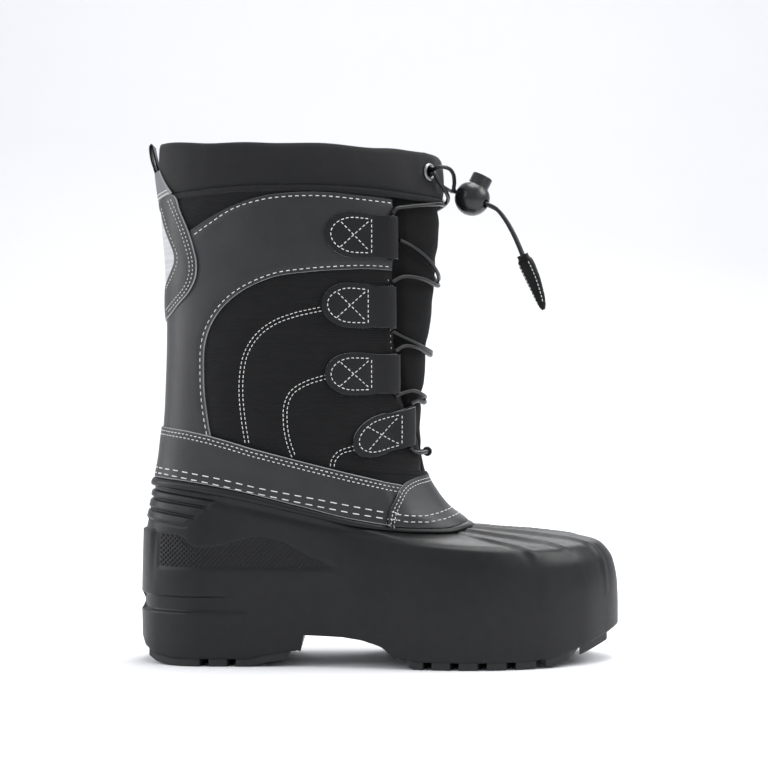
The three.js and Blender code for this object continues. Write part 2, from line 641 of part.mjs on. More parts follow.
// Middle line of the two cords from the lock to the end tab.
const TAIL = [
  [212.6, -8.8, 268.2], [217.8, -8, 261.8], [222.2, -7, 254.2], [226.2, -6, 245.6],
];
const TAIL_END = new THREE.Vector3(228.6, -5.6, 239.6);
const TAB_DOWN = new THREE.Vector3(0.359, 0, -0.934).normalize();
const toggleCord = (distance, side) => TOGGLE_PLACE.clone()
  .addScaledVector(ALONG, distance).addScaledVector(ACROSS, side * CORD_SPREAD);

// Free stretch of each cord from its eyelet to the lock.
const LEAD = {
  outer: [[177, -31.5, 292], [183, -25.5, 292.6], [186, -15.5, 290.6], [186.6, -7, 286.6]],
  inner: [[178.6, 31, 288], [184.6, 25, 283.6], [186.6, 17, 281.6], [185.6, 10.5, 281.6]],
};

function makeDrawcord(name, side) {
  const start = [-1.4, 2.6].map((out) => eyeletPlace(side, out, 1));
  const tail = TAIL.map((place) => new THREE.Vector3(...place)
    .addScaledVector(ACROSS, side * CORD_SPREAD));
  const end = TAIL_END.clone().addScaledVector(ACROSS, side * CORD_SPREAD);
  end.addScaledVector(TAB_DOWN, -0.8);
  const lead = LEAD[name].map((place) => new THREE.Vector3(...place));
  const through = [-12, -6, 6, 12].map((distance) => toggleCord(distance, side));
  return cordSolid([...start, ...lead, ...through, ...tail, end]);
}

function makeTab() {
  const { length, width, thick, turn } = TAB;
  const shape = new THREE.Shape();
  shape.moveTo(-width / 2, 0);
  shape.lineTo(width / 2, 0);
  shape.lineTo(width / 2, -length + 5);
  shape.quadraticCurveTo(width / 2, -length, 0, -length);
  shape.quadraticCurveTo(-width / 2, -length, -width / 2, -length + 5);
  const options = { depth: thick, bevelEnabled: false, curveSegments: 4 };
  const geometry = new THREE.ExtrudeGeometry(shape, options);
  geometry.translate(0, 0, -thick / 2);
  geometry.rotateY(Math.PI / 2 + turn);
  const down = new THREE.Quaternion().setFromUnitVectors(new THREE.Vector3(0, -1, 0), TAB_DOWN);
  geometry.applyQuaternion(down);
  geometry.translate(TAIL_END.x, TAIL_END.y, TAIL_END.z);
  return solidFrom(geometry);
}

// ---- the boot ----
const finish = (color, roughness, metalness = 0) => (
  new THREE.MeshStandardMaterial({ color, roughness, metalness })
);
const RUBBER = finish(0x242424, 0.55);
const LEATHER = finish(0x2a2a2b, 0.5);
const FABRIC = finish(0x161617, 0.95);
const LOOP_LEATHER = finish(0x1f1f20, 0.5);
const METAL = finish(0xb9bbbd, 0.3, 1);
const ELASTIC = finish(0x2e2e30, 0.8);
const PLASTIC = finish(0x202021, 0.4);

const boot = new THREE.Group();

function addPiece(name, solid, material) {
  const mesh = new THREE.Mesh(geometryFrom(solid), material);
  mesh.name = name;
  boot.add(mesh);
  return mesh;
}

addPiece('sole_shell', makeShell(), RUBBER);
addPiece('insole', makeInsole(), FABRIC);
addPiece('upper', makeUpper(), LEATHER);
addPiece('tongue', makeTongue(), FABRIC);
addPiece('collar', makeCollar(), FABRIC);
addPiece('heel_patch', overlay(sideCut(PATCH), 195, 285), LEATHER);
addPiece('pull_tab', sideCut(PULL_TAB, -PULL_TAB_WIDTH / 2, PULL_TAB_WIDTH / 2), LEATHER);

for (const [name, side] of [['outer', -1], ['inner', 1]]) {
  LOOPS.forEach((row, i) => {
    addPiece(`lace_loop_${name}_${i + 1}`, makeLoop(row, side), LOOP_LEATHER);
  });
  addPiece(`eyelet_${name}`, makeEyelet(side), METAL);
  addPiece(`drawcord_${name}`, makeDrawcord(name, side), ELASTIC);
}

addPiece('lace_cross_top', makeLaceTop(), ELASTIC);
for (const [name, strands] of Object.entries(LACE)) addPiece(name, makeLace(strands), ELASTIC);
addPiece('lace_keeper', makeKeeper(), LOOP_LEATHER);

const lockAxes = new THREE.Matrix4().makeBasis(ALONG, ACROSS, PRESS_UP);
for (const [name, solid] of [['toggle_body', makeToggleBody()], ['toggle_button', makeToggleButton()]]) {
  const mesh = addPiece(name, solid, PLASTIC);
  mesh.quaternion.setFromRotationMatrix(lockAxes);
  mesh.position.copy(TOGGLE_PLACE);
}
addPiece('cord_tab', makeTab(), LOOP_LEATHER);

// The origin is on the floor under the middle of the boot's own box.
const inner = Math.max(...turns.map((turn) => solePoint(turn)[1]));
const outer = Math.min(...turns.map((turn) => solePoint(turn)[1]));
boot.position.set(-LENGTH / 2, -(inner + outer) / 2, 0);

export default boot;
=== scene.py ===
"""Snow boot for the right foot: finishes, panels, stitching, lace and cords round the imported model.

Sizes are in millimetres in the boot's own frame (x from the back of the heel, z from the floor,
the outer side on -y) and become metres in the shared frame when a piece is made.
"""

import math

import bpy
import numpy as np
from bpy.props import FloatProperty, FloatVectorProperty, PointerProperty
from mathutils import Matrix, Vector
from mathutils.bvhtree import BVHTree


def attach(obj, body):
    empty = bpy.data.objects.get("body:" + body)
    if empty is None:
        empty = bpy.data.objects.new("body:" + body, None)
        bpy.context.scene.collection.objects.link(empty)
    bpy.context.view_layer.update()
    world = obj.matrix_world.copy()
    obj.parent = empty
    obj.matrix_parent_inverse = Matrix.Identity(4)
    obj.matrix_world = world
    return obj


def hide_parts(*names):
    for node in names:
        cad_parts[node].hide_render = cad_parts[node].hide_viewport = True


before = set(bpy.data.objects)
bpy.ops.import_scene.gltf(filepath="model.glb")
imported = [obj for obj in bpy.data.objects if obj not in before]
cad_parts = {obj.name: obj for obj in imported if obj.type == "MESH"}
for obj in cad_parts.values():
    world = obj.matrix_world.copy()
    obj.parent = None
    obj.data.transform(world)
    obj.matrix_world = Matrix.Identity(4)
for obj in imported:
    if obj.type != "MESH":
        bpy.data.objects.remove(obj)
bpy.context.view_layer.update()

bl_info = {
    "name": "Snow boot",
    "version": (1, 0, 0),
    "blender": (4, 5, 0),
    "location": "View3D > Sidebar > Boot",
    "description": "Makes the visible pieces of a lace-up snow boot",
    "category": "Object",
}

# ---- the boot's own form ----
LENGTH = 286.5
SHELL_WALL = 4.5
UPPER_WALL = 5.0
# Clearance between pieces that lie against each other.
GAP = 0.3
# Powers that square the ends of the upper's plan a little.
BACK_ROUND = 0.86
FRONT_ROUND = 0.94
# Share of even spacing in the points round the sole; the rest crowds them at the heel.
TOE_FAN = 0.65
# The shell's wall stops this far below the rim, where its bead begins.
RIM_DROP = 3.0
CORD = 2.4
SIDES = ((-1, "outer"), (1, "inner"))
# Millimetres round the upper for one unit of turn, near enough to draw smooth edges flat.
TURN_SCALE = 50
TINY = 1e-9


def columns(names, *rows):
    """A table as one array for each named column."""
    return dict(zip(names.split(), np.array(rows, float).T))


def rows_of(table):
    """The rows of such a table, each with a value for each named column."""
    return [dict(zip(table, values)) for values in zip(*table.values())]


def unit_rows(vectors):
    """Vectors on the last axis, made one long."""
    return vectors / np.maximum(np.linalg.norm(vectors, axis=-1, keepdims=True), TINY)


FORM = columns(
    "z back front half lean",
    (40, 2.0, 214, 44.5, 6), (68, 3.2, 205, 43, 5), (77, 3.9, 199.5, 42.5, 4.5),
    (84, 4.8, 192.6, 42, 4), (91.4, 5.7, 183.2, 41.7, 3), (100.6, 7.0, 175.8, 41.5, 2),
    (110.6, 9.3, 170.6, 41.5, 1.5), (124, 12.0, 168.4, 41.8, 1), (139, 14.2, 167.2, 42.4, 0),
    (157.5, 15.6, 168.7, 43.4, 0), (194, 16.9, 172.6, 46, 0), (231, 16.2, 176.6, 48.2, 0),
    (267, 13.6, 178.8, 49.3, 0), (290, 12.5, 178.4, 49.2, 0), (312, 12.2, 175.5, 48, 0),
)
SOLE = columns(
    "x centre half",
    (0, 0, 0), (12, 0, 26.5), (38, 0, 37.3), (70, -0.8, 37.4), (105, -3, 36), (140, -4.5, 40.8),
    (175, -4, 49.3), (205, -1.5, 52.8), (235, 2, 49), (262, 6, 36.5), (277, 8.5, 22),
    (LENGTH, 9.5, 0),
)
UNDERSIDE = columns(
    "x z",
    (-5, 24), (0.6, 24), (1.2, 11), (3.9, 5.7), (12, 1.3), (20, 0), (66, 0), (77, 2.6), (96.5, 5.5),
    (97, 18.6), (121, 17.7), (132, 16.2), (143, 12.8), (148.5, 8.4), (156.7, 1.9), (163, 0),
    (226, 0), (241, 1.3), (263, 7.3), (276.6, 12.2), (286.5, 16.6), (295, 20.5),
)
FOOTBED = columns(
    "x z",
    (-5, 27), (30, 26), (70, 25.2), (105, 23.6), (135, 20.6), (165, 17), (205, 15.8), (240, 17.6),
    (270, 22.5), (295, 28),
)
RIM = columns(
    "x z",
    (0, 110), (28, 107.4), (60, 102), (94, 93.8), (128, 85.2), (160, 80.4), (180, 79.6), (196, 83.2),
)
SHELL_RISE = columns(
    "rise wall toe",
    (-0.02, 0, 0), (0.05, 0, 0), (0.4, 0, 0), (0.56, 0.14, 0.005), (0.74, 0.36, 0.035),
    (0.86, 0.66, 0.11), (0.925, 0.82, 0.24), (0.955, 0.88, 0.5), (0.98, 0.95, 0.8), (1, 1, 1),
)
SEAM = columns(
    "x z", (0, 275), (23, 275.9), (65, 278.4), (100, 278.8), (131, 277.6), (154, 275.7),
    (165, 274.8), (185, 273.9),
)
COLLAR_TOP = columns(
    "x z", (0, 306.8), (16, 305.6), (30, 303.9), (60, 303.2), (85, 303.4), (110, 302.8),
    (145, 300.8), (168, 298.6), (185, 296.5),
)
THROAT = columns(
    "z x",
    (112, 166.8), (122, 166.5), (133, 164.4), (140.7, 160.6), (156.3, 154.8), (190, 150.2),
    (262, 149), (300, 148.6),
)


def smooth_table(table, key):
    """Smooth columns against a rising key, with no overshoot between the rows."""
    keys = table[key]
    steps = np.diff(keys)
    slopes = {}
    for name in table:
        rise = np.diff(table[name]) / steps
        before, after = rise[:-1], rise[1:]
        total = np.where(before * after > 0, before + after, 1)
        inner = np.where(before * after > 0, 2 * before * after / total, 0)
        slopes[name] = np.concatenate([rise[:1], inner, rise[-1:]])

    def at(value, name):
        value = np.clip(value, keys[0], keys[-1])
        i = np.clip(np.searchsorted(keys, value) - 1, 0, len(steps) - 1)
        t = (value - keys[i]) / steps[i]
        a, b = table[name][i], table[name][i + 1]
        ma, mb = slopes[name][i] * steps[i], slopes[name][i + 1] * steps[i]
        rising = ma * t * (1 - t) ** 2 + mb * t * t * (t - 1)
        return a * (1 + 2 * t) * (1 - t) ** 2 + b * t * t * (3 - 2 * t) + rising

    return at


def ease(start, end, value):
    """Rises smoothly from 0 at the start to 1 at the end."""
    t = np.clip((value - start) / (end - start), 0, 1)
    return t * t * (3 - 2 * t)


def end_angle(part):
    """Turn, from 0 to pi, at which a share of the length is reached."""
    return np.arccos(1 - 2 * np.clip(part, 0, 1))


def part_of(turn):
    """Share of the length reached at a turn."""
    return (1 - np.cos(turn)) / 2


form_at = smooth_table(FORM, "z")
rim_at = smooth_table(RIM, "x")
rise_at = smooth_table(SHELL_RISE, "rise")
seam_at = smooth_table(SEAM, "x")
top_at = smooth_table(COLLAR_TOP, "x")
sole_at = smooth_table(
    {"angle": end_angle(SOLE["x"] / LENGTH), "centre": SOLE["centre"], "half": SOLE["half"]}, "angle"
)


def underside(x):
    """Height of the sole's lowest edge, on the faces of the lugs."""
    return np.interp(x, UNDERSIDE["x"], UNDERSIDE["z"])


def push_out(plan, turn, out):
    """A point of a closed plan curve, moved outwards square to the curve."""
    step = 0.004
    x, y = plan(turn)
    xa, ya = plan(turn - step)
    xb, yb = plan(turn + step)
    size = np.maximum(np.hypot(xb - xa, yb - ya), TINY)
    return x + out * (yb - ya) / size, y - out * (xb - xa) / size


def form_point(z, turn, out=0.0):
    """Point of the upper's form. A turn of 0 is the back, and the outer side is from 0 to pi."""
    z, turn, out = np.broadcast_arrays(np.asarray(z, float), turn, out)
    back, front = form_at(z, "back"), form_at(z, "front")
    half, lean = form_at(z, "half"), form_at(z, "lean")

    def plan(angle):
        part = part_of(angle)
        roundness = BACK_ROUND + (FRONT_ROUND - BACK_ROUND) * part
        side = np.sin(angle)
        reach = np.abs(side) ** roundness * np.sign(side)
        return back + (front - back) * part, lean * part - half * reach

    x, y = push_out(plan, turn, out)
    return np.stack([x, y, z], -1)


def turn_at(x, z):
    """Turn of a place in the side view."""
    back, front = form_at(z, "back"), form_at(z, "front")
    return end_angle((np.asarray(x, float) - back) / (front - back))


def on_form(x, z, side=-1, out=0.0):
    """Point on one side of the form from its place in the side view."""
    return form_point(z, -np.asarray(side) * turn_at(x, z), out)


def sole_point(turn, out=0.0):
    """(x, y) on the sole's edge, round the same way as the form."""
    def plan(angle):
        part = part_of(angle)
        x = LENGTH * (TOE_FAN * part + (1 - TOE_FAN) * part**3)
        at = end_angle(x / LENGTH)
        return x, sole_at(at, "centre") - sole_at(at, "half") * np.sign(np.sin(angle))

    return push_out(plan, np.asarray(turn, float), out)


def rim_point(turn, out, up):
    """Point at a distance out from the upper and up from the shell's rim line."""
    z = np.full(np.shape(turn), 90.0)
    for _ in range(12):
        z = rim_at(form_point(z, turn)[..., 0], "z")
    return form_point(z + up, turn, out)


# Bands round the heel: heights, softness of their edges, how far forward they reach and fade, and
# how much the bumper holds the wall out (a share) or the groove moves it (millimetres).
HEEL_BUMPER = {"low": 42, "high": 78.6, "edge": 0.6, "reach": 9, "fade": 3, "strength": 0.7}
HEEL_GROOVE = {"low": 31.5, "high": 40.5, "edge": 0.8, "reach": 70, "fade": 30, "strength": -2}


def heel_band(band, x, z):
    """How strongly a band round the heel acts at a place."""
    low, high, edge = band["low"], band["high"], band["edge"]
    on = ease(low - edge, low + edge, z) * (1 - ease(high - edge, high + edge, z))
    near = 1 - ease(band["reach"] - band["fade"], band["reach"], x)
    return band["strength"] * near * on


def toe_share(turn):
    """0 along the sides of the boot and 1 round its toe."""
    return ease(0.5, 0.86, part_of(turn))


def shell_point(z, turn, relief=True):
    """Point of the rubber shell's outside at a height, from the sole's edge in to the rim."""
    rim = rim_point(turn, 0, -RIM_DROP)
    level = z / rim[..., 2]
    wall, toe = rise_at(level, "wall"), rise_at(level, "toe")
    inward = wall + (toe - wall) * toe_share(turn)
    out = np.zeros(np.shape(z))
    if relief:
        x = sole_point(turn)[0]
        inward = inward * (1 - heel_band(HEEL_BUMPER, x, z))
        out = heel_band(HEEL_GROOVE, x, z)
    edge_x, edge_y = sole_point(turn, out)
    x = edge_x + (rim[..., 0] - edge_x) * inward
    y = edge_y + (rim[..., 1] - edge_y) * inward
    return np.stack([x, y, z], -1)


# Place of the boot's own frame in the shared one.
_OUTLINE = sole_point(np.linspace(0, 2 * math.pi, 36, endpoint=False))[1]
SHIFT = np.array([-LENGTH / 2, -(_OUTLINE.max() + _OUTLINE.min()) / 2, 0])


def metres(points):
    """From millimetres in the boot's own frame to metres in the shared one."""
    return (np.asarray(points, float) + SHIFT) / 1000


def curve_through(points, count=None, each=8):
    """Centripetal curve through points, as three.js draws it, evenly filled in."""
    p = np.asarray(points, float)
    p = np.vstack([2 * p[0] - p[1], p, 2 * p[-1] - p[-2]])
    rows = []
    for a, b, c, d in zip(p[:-3], p[1:-2], p[2:-1], p[3:]):
        gaps = [max(np.linalg.norm(v - w), 1e-6) ** 0.5 for v, w in ((b, a), (c, b), (d, c))]
        ta, tb = (b - a) / gaps[0], (c - b) / gaps[1]
        td = (d - c) / gaps[2]
        start = (ta - (c - a) / (gaps[0] + gaps[1]) + tb) * gaps[1]
        end = (tb - (d - b) / (gaps[1] + gaps[2]) + td) * gaps[1]
        t = np.linspace(0, 1, each, endpoint=False)[:, None]
        rows.append(
            b * (1 + 2 * t) * (1 - t) ** 2 + start * t * (1 - t) ** 2
            + c * t * t * (3 - 2 * t) + end * t * t * (t - 1)
        )
    line = np.vstack([*rows, p[-2:-1]])
    return line if count is None else even(line, count)


def lengths(line):
    """Run of a line up to each of its points."""
    return np.concatenate([[0], np.cumsum(np.linalg.norm(np.diff(line, axis=0), axis=1))])


def even(line, count):
    """A line's points spread evenly along it."""
    run = lengths(line)
    at = np.linspace(0, run[-1], count)
    return np.stack([np.interp(at, run, line[:, k]) for k in range(line.shape[1])], -1)


def distance_to(lines, x, z):
    """Distance in the side view from each place to the nearest of some lines."""
    best = np.full(x.shape, 1e3)
    for line in lines:
        for (ax, az), (bx, bz) in zip(line[:-1], line[1:]):
            dx, dz = bx - ax, bz - az
            size = max(dx * dx + dz * dz, TINY)
            t = np.clip(((x - ax) * dx + (z - az) * dz) / size, 0, 1)
            best = np.minimum(best, np.hypot(x - ax - t * dx, z - az - t * dz))
    return best


# ---- seams and panel edges in the side view, (x, z) ----
RAND_TOP = columns(
    "x z", (-5, 141.5), (13.6, 139.5), (30, 137.2), (43.3, 134.4), (56, 130.9), (68, 127.2),
    (98, 119.3), (120, 113.6), (145.5, 107.2), (156, 105), (170, 102.6),
)
BAND_TOP = [
    (24, 245), (32, 251.4), (44.8, 259.2), (57.5, 265.5), (75.4, 270.8), (93.1, 272.6),
    (110.7, 272.7), (128.2, 271.3), (149.1, 269.4),
]
ARC_1 = [
    (148.9, 232.4), (135.2, 232.9), (117.7, 232.2), (100.2, 230.8), (82.5, 228.3), (66.5, 222.2),
    (55.6, 215.3), (47.3, 206.6), (41.7, 196.9), (38.8, 186.2), (38.3, 172), (38.8, 157.7),
    (40.6, 143.4), (42.5, 133.5),
]
ARC_2 = [
    (112, 208.3), (93, 204.1), (80.6, 199.2), (71.7, 192.2), (65.4, 182.5), (62.6, 170.2),
    (62.2, 157.7), (63.5, 143.6), (65.7, 129.5),
]
ARC_3 = [
    (113, 169), (99.9, 164.8), (91.9, 159.6), (88.4, 152.4), (87.9, 141.9), (89.6, 131.2),
    (92.8, 121.8),
]
ARC_4 = [(129, 127.6), (119.2, 124.4), (115.4, 119.6), (114.9, 115.6)]
PATCH_EDGE = [
    (13, 274.4), (23.4, 274.9), (26.9, 266), (31.7, 254.6), (35.5, 242.6), (37.1, 234.4),
    (36.3, 226.1), (32.3, 218.1), (26.4, 211.7), (20.5, 205), (12, 201.8),
]
WINDOW_EDGE = [
    (8, 267.6), (14.6, 266.4), (16, 261), (17.6, 255.6), (20.6, 248), (23.2, 241), (23.4, 236),
    (21.4, 231), (19.2, 226.6), (17.2, 222.6), (8, 221),
]
QUILT_LINES = [curve_through(line, each=3) for line in (ARC_1, ARC_2, ARC_3, ARC_4, BAND_TOP)]


# ---- meshes ----
def only(obj):
    """Selects one object and nothing else."""
    bpy.ops.object.select_all(action="DESELECT")
    obj.select_set(True)
    bpy.context.view_layer.objects.active = obj


def points_of(obj, what="co"):
    data = np.empty(len(obj.data.vertices) * 3)
    obj.data.vertices.foreach_get(what, data)
    return data.reshape(-1, 3)


def set_points(obj, points):
    obj.data.vertices.foreach_set("co", np.ascontiguousarray(points, float).ravel())
    obj.data.update()


def tidy(obj, merge=0.02, outward=True):
    """Merges doubles, turns the faces outwards and shades them smooth."""
    only(obj)
    bpy.ops.object.mode_set(mode="EDIT")
    bpy.ops.mesh.select_all(action="SELECT")
    bpy.ops.mesh.remove_doubles(threshold=merge / 1000)
    if outward:
        bpy.ops.mesh.normals_make_consistent(inside=False)
    bpy.ops.object.mode_set(mode="OBJECT")
    bpy.ops.object.shade_smooth()
    return obj


def loft(name, grid, uv=None, closed=True):
    """A grid primitive shaped by an array of rows of points, in millimetres."""
    high, wide = grid.shape[0] - 1, grid.shape[1] - 1
    bpy.ops.object.select_all(action="DESELECT")
    bpy.ops.mesh.primitive_grid_add(x_subdivisions=wide, y_subdivisions=high, size=1)
    obj = bpy.context.object
    obj.name = obj.data.name = name
    flat = points_of(obj)
    i = np.rint((flat[:, 0] + 0.5) * wide).astype(int)
    j = np.rint((flat[:, 1] + 0.5) * high).astype(int)
    set_points(obj, metres(grid[j, i]))
    if uv is not None:
        corner = np.empty(len(obj.data.loops), int)
        obj.data.loops.foreach_get("vertex_index", corner)
        spread = uv[j, i][corner] / 1000
        obj.data.uv_layers.active.data.foreach_set("uv", spread.ravel())
    return tidy(obj, outward=closed)


def face_away(obj, centre=(90, 0)):
    """Turns an open sheet's faces away from the boot's upright middle line."""
    place = points_of(obj) - metres((*centre, 0))
    normal = points_of(obj, "normal")
    if (place[:, :2] * normal[:, :2]).sum() < 0:
        only(obj)
        bpy.ops.object.mode_set(mode="EDIT")
        bpy.ops.mesh.select_all(action="SELECT")
        bpy.ops.mesh.flip_normals()
        bpy.ops.object.mode_set(mode="OBJECT")
    return obj


def modify(obj, kind, **settings):
    """Adds a modifier and applies it."""
    only(obj)
    modifier = obj.modifiers.new(kind.lower(), kind)
    for key, value in settings.items():
        setattr(modifier, key, value)
    bpy.ops.object.modifier_apply(modifier=modifier.name)
    return obj


def bevel(obj, width, segments=2, corner=55, material=-1):
    """Rounds the edges that are sharper than a corner's angle, in degrees."""
    return modify(obj, "BEVEL", width=width / 1000, segments=segments, limit_method="ANGLE",
                  angle_limit=math.radians(corner), material=material)


def smooth_by_angle(obj, degrees):
    """Shades a piece smooth but for edges sharper than an angle."""
    only(obj)
    bpy.ops.object.shade_smooth_by_angle(angle=math.radians(degrees))


def thicken(obj, thick, edge=0.4, inner_slot=0, edge_slot=-1):
    """Gives a sheet its thickness inwards and rounds its edges."""
    face_away(obj)
    modify(obj, "SOLIDIFY", thickness=thick / 1000, offset=-1, material_offset=inner_slot,
           material_offset_rim=max(edge_slot, 0))
    bevel(obj, edge, material=edge_slot)
    smooth_by_angle(obj, 48)
    return obj


def mesh_from(name, points, faces):
    """A piece made of points in millimetres and the faces between them."""
    mesh = bpy.data.meshes.new(name)
    mesh.from_pydata(metres(points).tolist(), [], faces)
    obj = bpy.data.objects.new(name, mesh)
    bpy.context.collection.objects.link(obj)
    return tidy(obj, merge=0.001)


def tube_rings(line, radius, sides):
    """Rings of points round a line that don't twist along it."""
    line = np.asarray(line, float)
    tangent = unit_rows(np.gradient(line, axis=0))
    normal = np.empty_like(line)
    guide = np.array([0.0, 0, 1])
    for k, t in enumerate(tangent):
        normal[k] = guide - t * np.dot(guide, t)
        normal[k] /= max(np.linalg.norm(normal[k]), TINY)
        guide = normal[k]
    other = np.cross(tangent, normal)
    angle = np.linspace(0, 2 * math.pi, sides, endpoint=False)[None, :, None]
    radius = np.broadcast_to(radius, len(line))[:, None, None]
    return line[:, None] + radius * (np.cos(angle) * normal[:, None] + np.sin(angle) * other[:, None])


def ring_faces(count, sides, first=0):
    """Faces of a tube of rings: its side, then its two ends."""
    faces = [
        (first + i * sides + k, first + i * sides + (k + 1) % sides,
         first + (i + 1) * sides + (k + 1) % sides, first + (i + 1) * sides + k)
        for i in range(count - 1) for k in range(sides)
    ]
    start = tuple(first + k for k in range(sides))
    end = tuple(first + (count - 1) * sides + k for k in reversed(range(sides)))
    return [*faces, start, end]


def tubes(name, lines, radius, sides=10, taper=True):
    """Round cords along several lines, joined into one mesh."""
    points, faces = [], []
    first = 0
    for line in lines:
        count = len(line)
        size = np.full(count, float(radius))
        if taper:
            size[0] = size[-1] = radius * 0.55
        rings = tube_rings(line, size, sides)
        points.append(rings.reshape(-1, 3))
        faces += ring_faces(count, sides, first)
        first += count * sides
    return mesh_from(name, np.vstack(points), faces)


def lathe(name, profile, place, axes, sides=48):
    """A turned piece: a closed profile (radius, height) round the third of three axes."""
    angle = np.linspace(0, 2 * math.pi, sides + 1)[None, :, None]
    radius, height = np.array(profile, float).T[:, :, None, None]
    along, across, up = (np.asarray(axis, float) for axis in axes)
    grid = place + radius * (np.cos(angle) * along + np.sin(angle) * across) + height * up
    return loft(name, grid)


def join(name, parts):
    """Makes several objects one piece."""
    bpy.ops.object.select_all(action="DESELECT")
    for part in parts:
        part.select_set(True)
    bpy.context.view_layer.objects.active = parts[0]
    bpy.ops.object.join()
    parts[0].name = parts[0].data.name = name
    return parts[0]


def keep(obj, finish, slot, *nodes, body="boot"):
    """Gives a finished piece its material, its body and the solids it stands for."""
    obj.data.materials.clear()
    for mat in finish if isinstance(finish, tuple) else (finish,):
        obj.data.materials.append(bpy.data.materials[mat])
    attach(obj, body)
    if nodes:
        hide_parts(*nodes)
    return obj


# ---- stitching ----
THREAD_RINGS, THREAD_SIDES = 4, 5
# Each stitch dives this far into the leather at its ends.
STITCH_DEPTH = 0.55


def stitch_row(upper, lower, pitch, dash, radius):
    """Rings of short threads along a line: their middles lie on upper, their ends on lower."""
    run = lengths(upper)
    count = max(int((run[-1] - dash) // pitch) + 1, 1)
    start = (run[-1] - (count - 1) * pitch - dash) / 2 + np.arange(count) * pitch
    share = np.array([0, 0.16, 0.84, 1])
    depth = np.array([1, 0, 0, 1])[None, :, None]
    at = start[:, None] + dash * share[None, :]

    def sample(line, where):
        return np.stack([np.interp(where, run, line[:, k]) for k in range(3)], -1)

    top, low = sample(upper, at), sample(lower, at)
    centre = top * (1 - depth) + low * depth
    tangent = unit_rows(sample(upper, at[:, 3:]) - sample(upper, at[:, :1]))
    up = unit_rows(top - low)
    side = np.cross(np.broadcast_to(tangent, up.shape), up)
    angle = np.linspace(0, 2 * math.pi, THREAD_SIDES, endpoint=False)[None, None, :, None]
    size = radius * np.array([0.6, 1, 1, 0.6])[None, :, None, None]
    around = np.cos(angle) * up[:, :, None] + np.sin(angle) * side[:, :, None]
    return centre[:, :, None] + size * around


def stitches(name, rows):
    """Joins rows of stitches, each (upper, lower, pitch, dash, radius), into one piece."""
    each = THREAD_RINGS * THREAD_SIDES
    points = np.vstack([stitch_row(*row).reshape(-1, each, 3) for row in rows])
    first = each * np.arange(len(points))[:, None, None]
    template = np.array(ring_faces(THREAD_RINGS, THREAD_SIDES)[:-2])
    sides = (template[None] + first).reshape(-1, 4)
    caps = np.array([range(THREAD_SIDES)[::-1], range(each - THREAD_SIDES, each)])
    ends = (caps[None] + first).reshape(-1, THREAD_SIDES)
    obj = mesh_from(name, points.reshape(-1, 3), sides.tolist() + ends.tolist())
    keep(obj, "thread", "leather")


def surface_of(names):
    """A search tree over the finished pieces that a row of stitches lies on."""
    corners, faces, first = [], [], 0
    for name in names:
        mesh = bpy.data.objects[name].data
        corners += [vertex.co.copy() for vertex in mesh.vertices]
        faces += [[first + k for k in face.vertices] for face in mesh.polygons]
        first = len(corners)
    return BVHTree.FromPolygons(corners, faces)


def settle(row, tree, proud=0.1, above=4, reach=9):
    """Lays a row of stitches on the pieces under it, found from a little above the row."""
    upper, lower, *rest = row
    inward = unit_rows(lower - upper)
    laid = upper.copy()
    for k, (place, aim) in enumerate(zip(metres(upper - inward * above), inward)):
        hit = tree.ray_cast(Vector(place), Vector(aim), reach / 1000)[0]
        if hit is not None:
            laid[k] = np.array(hit) * 1000 - SHIFT - aim * proud
    return laid, laid + inward * STITCH_DEPTH, *rest


def seam(points, side, out, pitch, dash, radius, offset=0.0, fine=240):
    """One row of stitches on the form along places in the side view, moved across by offset."""
    line = curve_through(points, fine)
    if offset:
        step = unit_rows(np.gradient(line, axis=0))
        line = line + offset * np.stack([-step[:, 1], step[:, 0]], -1)
    upper = on_form(line[:, 0], line[:, 1], side, out)
    lower = on_form(line[:, 0], line[:, 1], side, out - STITCH_DEPTH)
    return upper, lower, pitch, dash, radius


def round_seam(height, end, out, pitch, dash, radius, start=None, count=500):
    """A row round the back at z = height(x), from one side of the boot to the other."""
    turn = np.linspace(-end if start is None else start, end, count)
    z = np.full(count, 110.0)
    for _ in range(8):
        z = height(form_point(z, turn)[:, 0])
    return form_point(z, turn, out), form_point(z, turn, out - STITCH_DEPTH), pitch, dash, radius


# ---- materials ----
class Nodes:
    """Adds and joins the nodes of one tree."""

    def __init__(self, tree):
        self.tree = tree

    def add(self, kind, inputs=None, **settings):
        node = self.tree.nodes.new(kind if kind.startswith("Node") else "ShaderNode" + kind)
        for key, value in settings.items():
            setattr(node, key, value)
        for key, value in (inputs or {}).items():
            if isinstance(value, bpy.types.NodeSocket):
                self.tree.links.new(value, node.inputs[key])
            else:
                node.inputs[key].default_value = value
        return node

    def math(self, operation, *values):
        return self.add("Math", dict(enumerate(values)), operation=operation).outputs[0]

    def use(self, name, **inputs):
        node = self.add("Group", node_tree=bpy.data.node_groups[name])
        for key, value in inputs.items():
            socket = node.inputs[key.replace("_", " ")]
            if isinstance(value, bpy.types.NodeSocket):
                self.tree.links.new(value, socket)
            else:
                socket.default_value = value
        return node.outputs

    def noise(self, vector, scale, detail=3.0, rough=0.55):
        inputs = {"Vector": vector, "Scale": scale, "Detail": detail, "Roughness": rough}
        return self.add("TexNoise", inputs).outputs["Fac"]


def effect(name, inputs, outputs):
    """An empty node group: the nodes, its input sockets and its output node."""
    tree = bpy.data.node_groups.new(name, "ShaderNodeTree")
    for label, kind, value in inputs:
        socket = tree.interface.new_socket(label, in_out="INPUT", socket_type="NodeSocket" + kind)
        if value is not None:
            socket.default_value = value
    for label, kind in outputs:
        tree.interface.new_socket(label, in_out="OUTPUT", socket_type="NodeSocket" + kind)
    nodes = Nodes(tree)
    return nodes, nodes.add("NodeGroupInput").outputs, nodes.add("NodeGroupOutput")


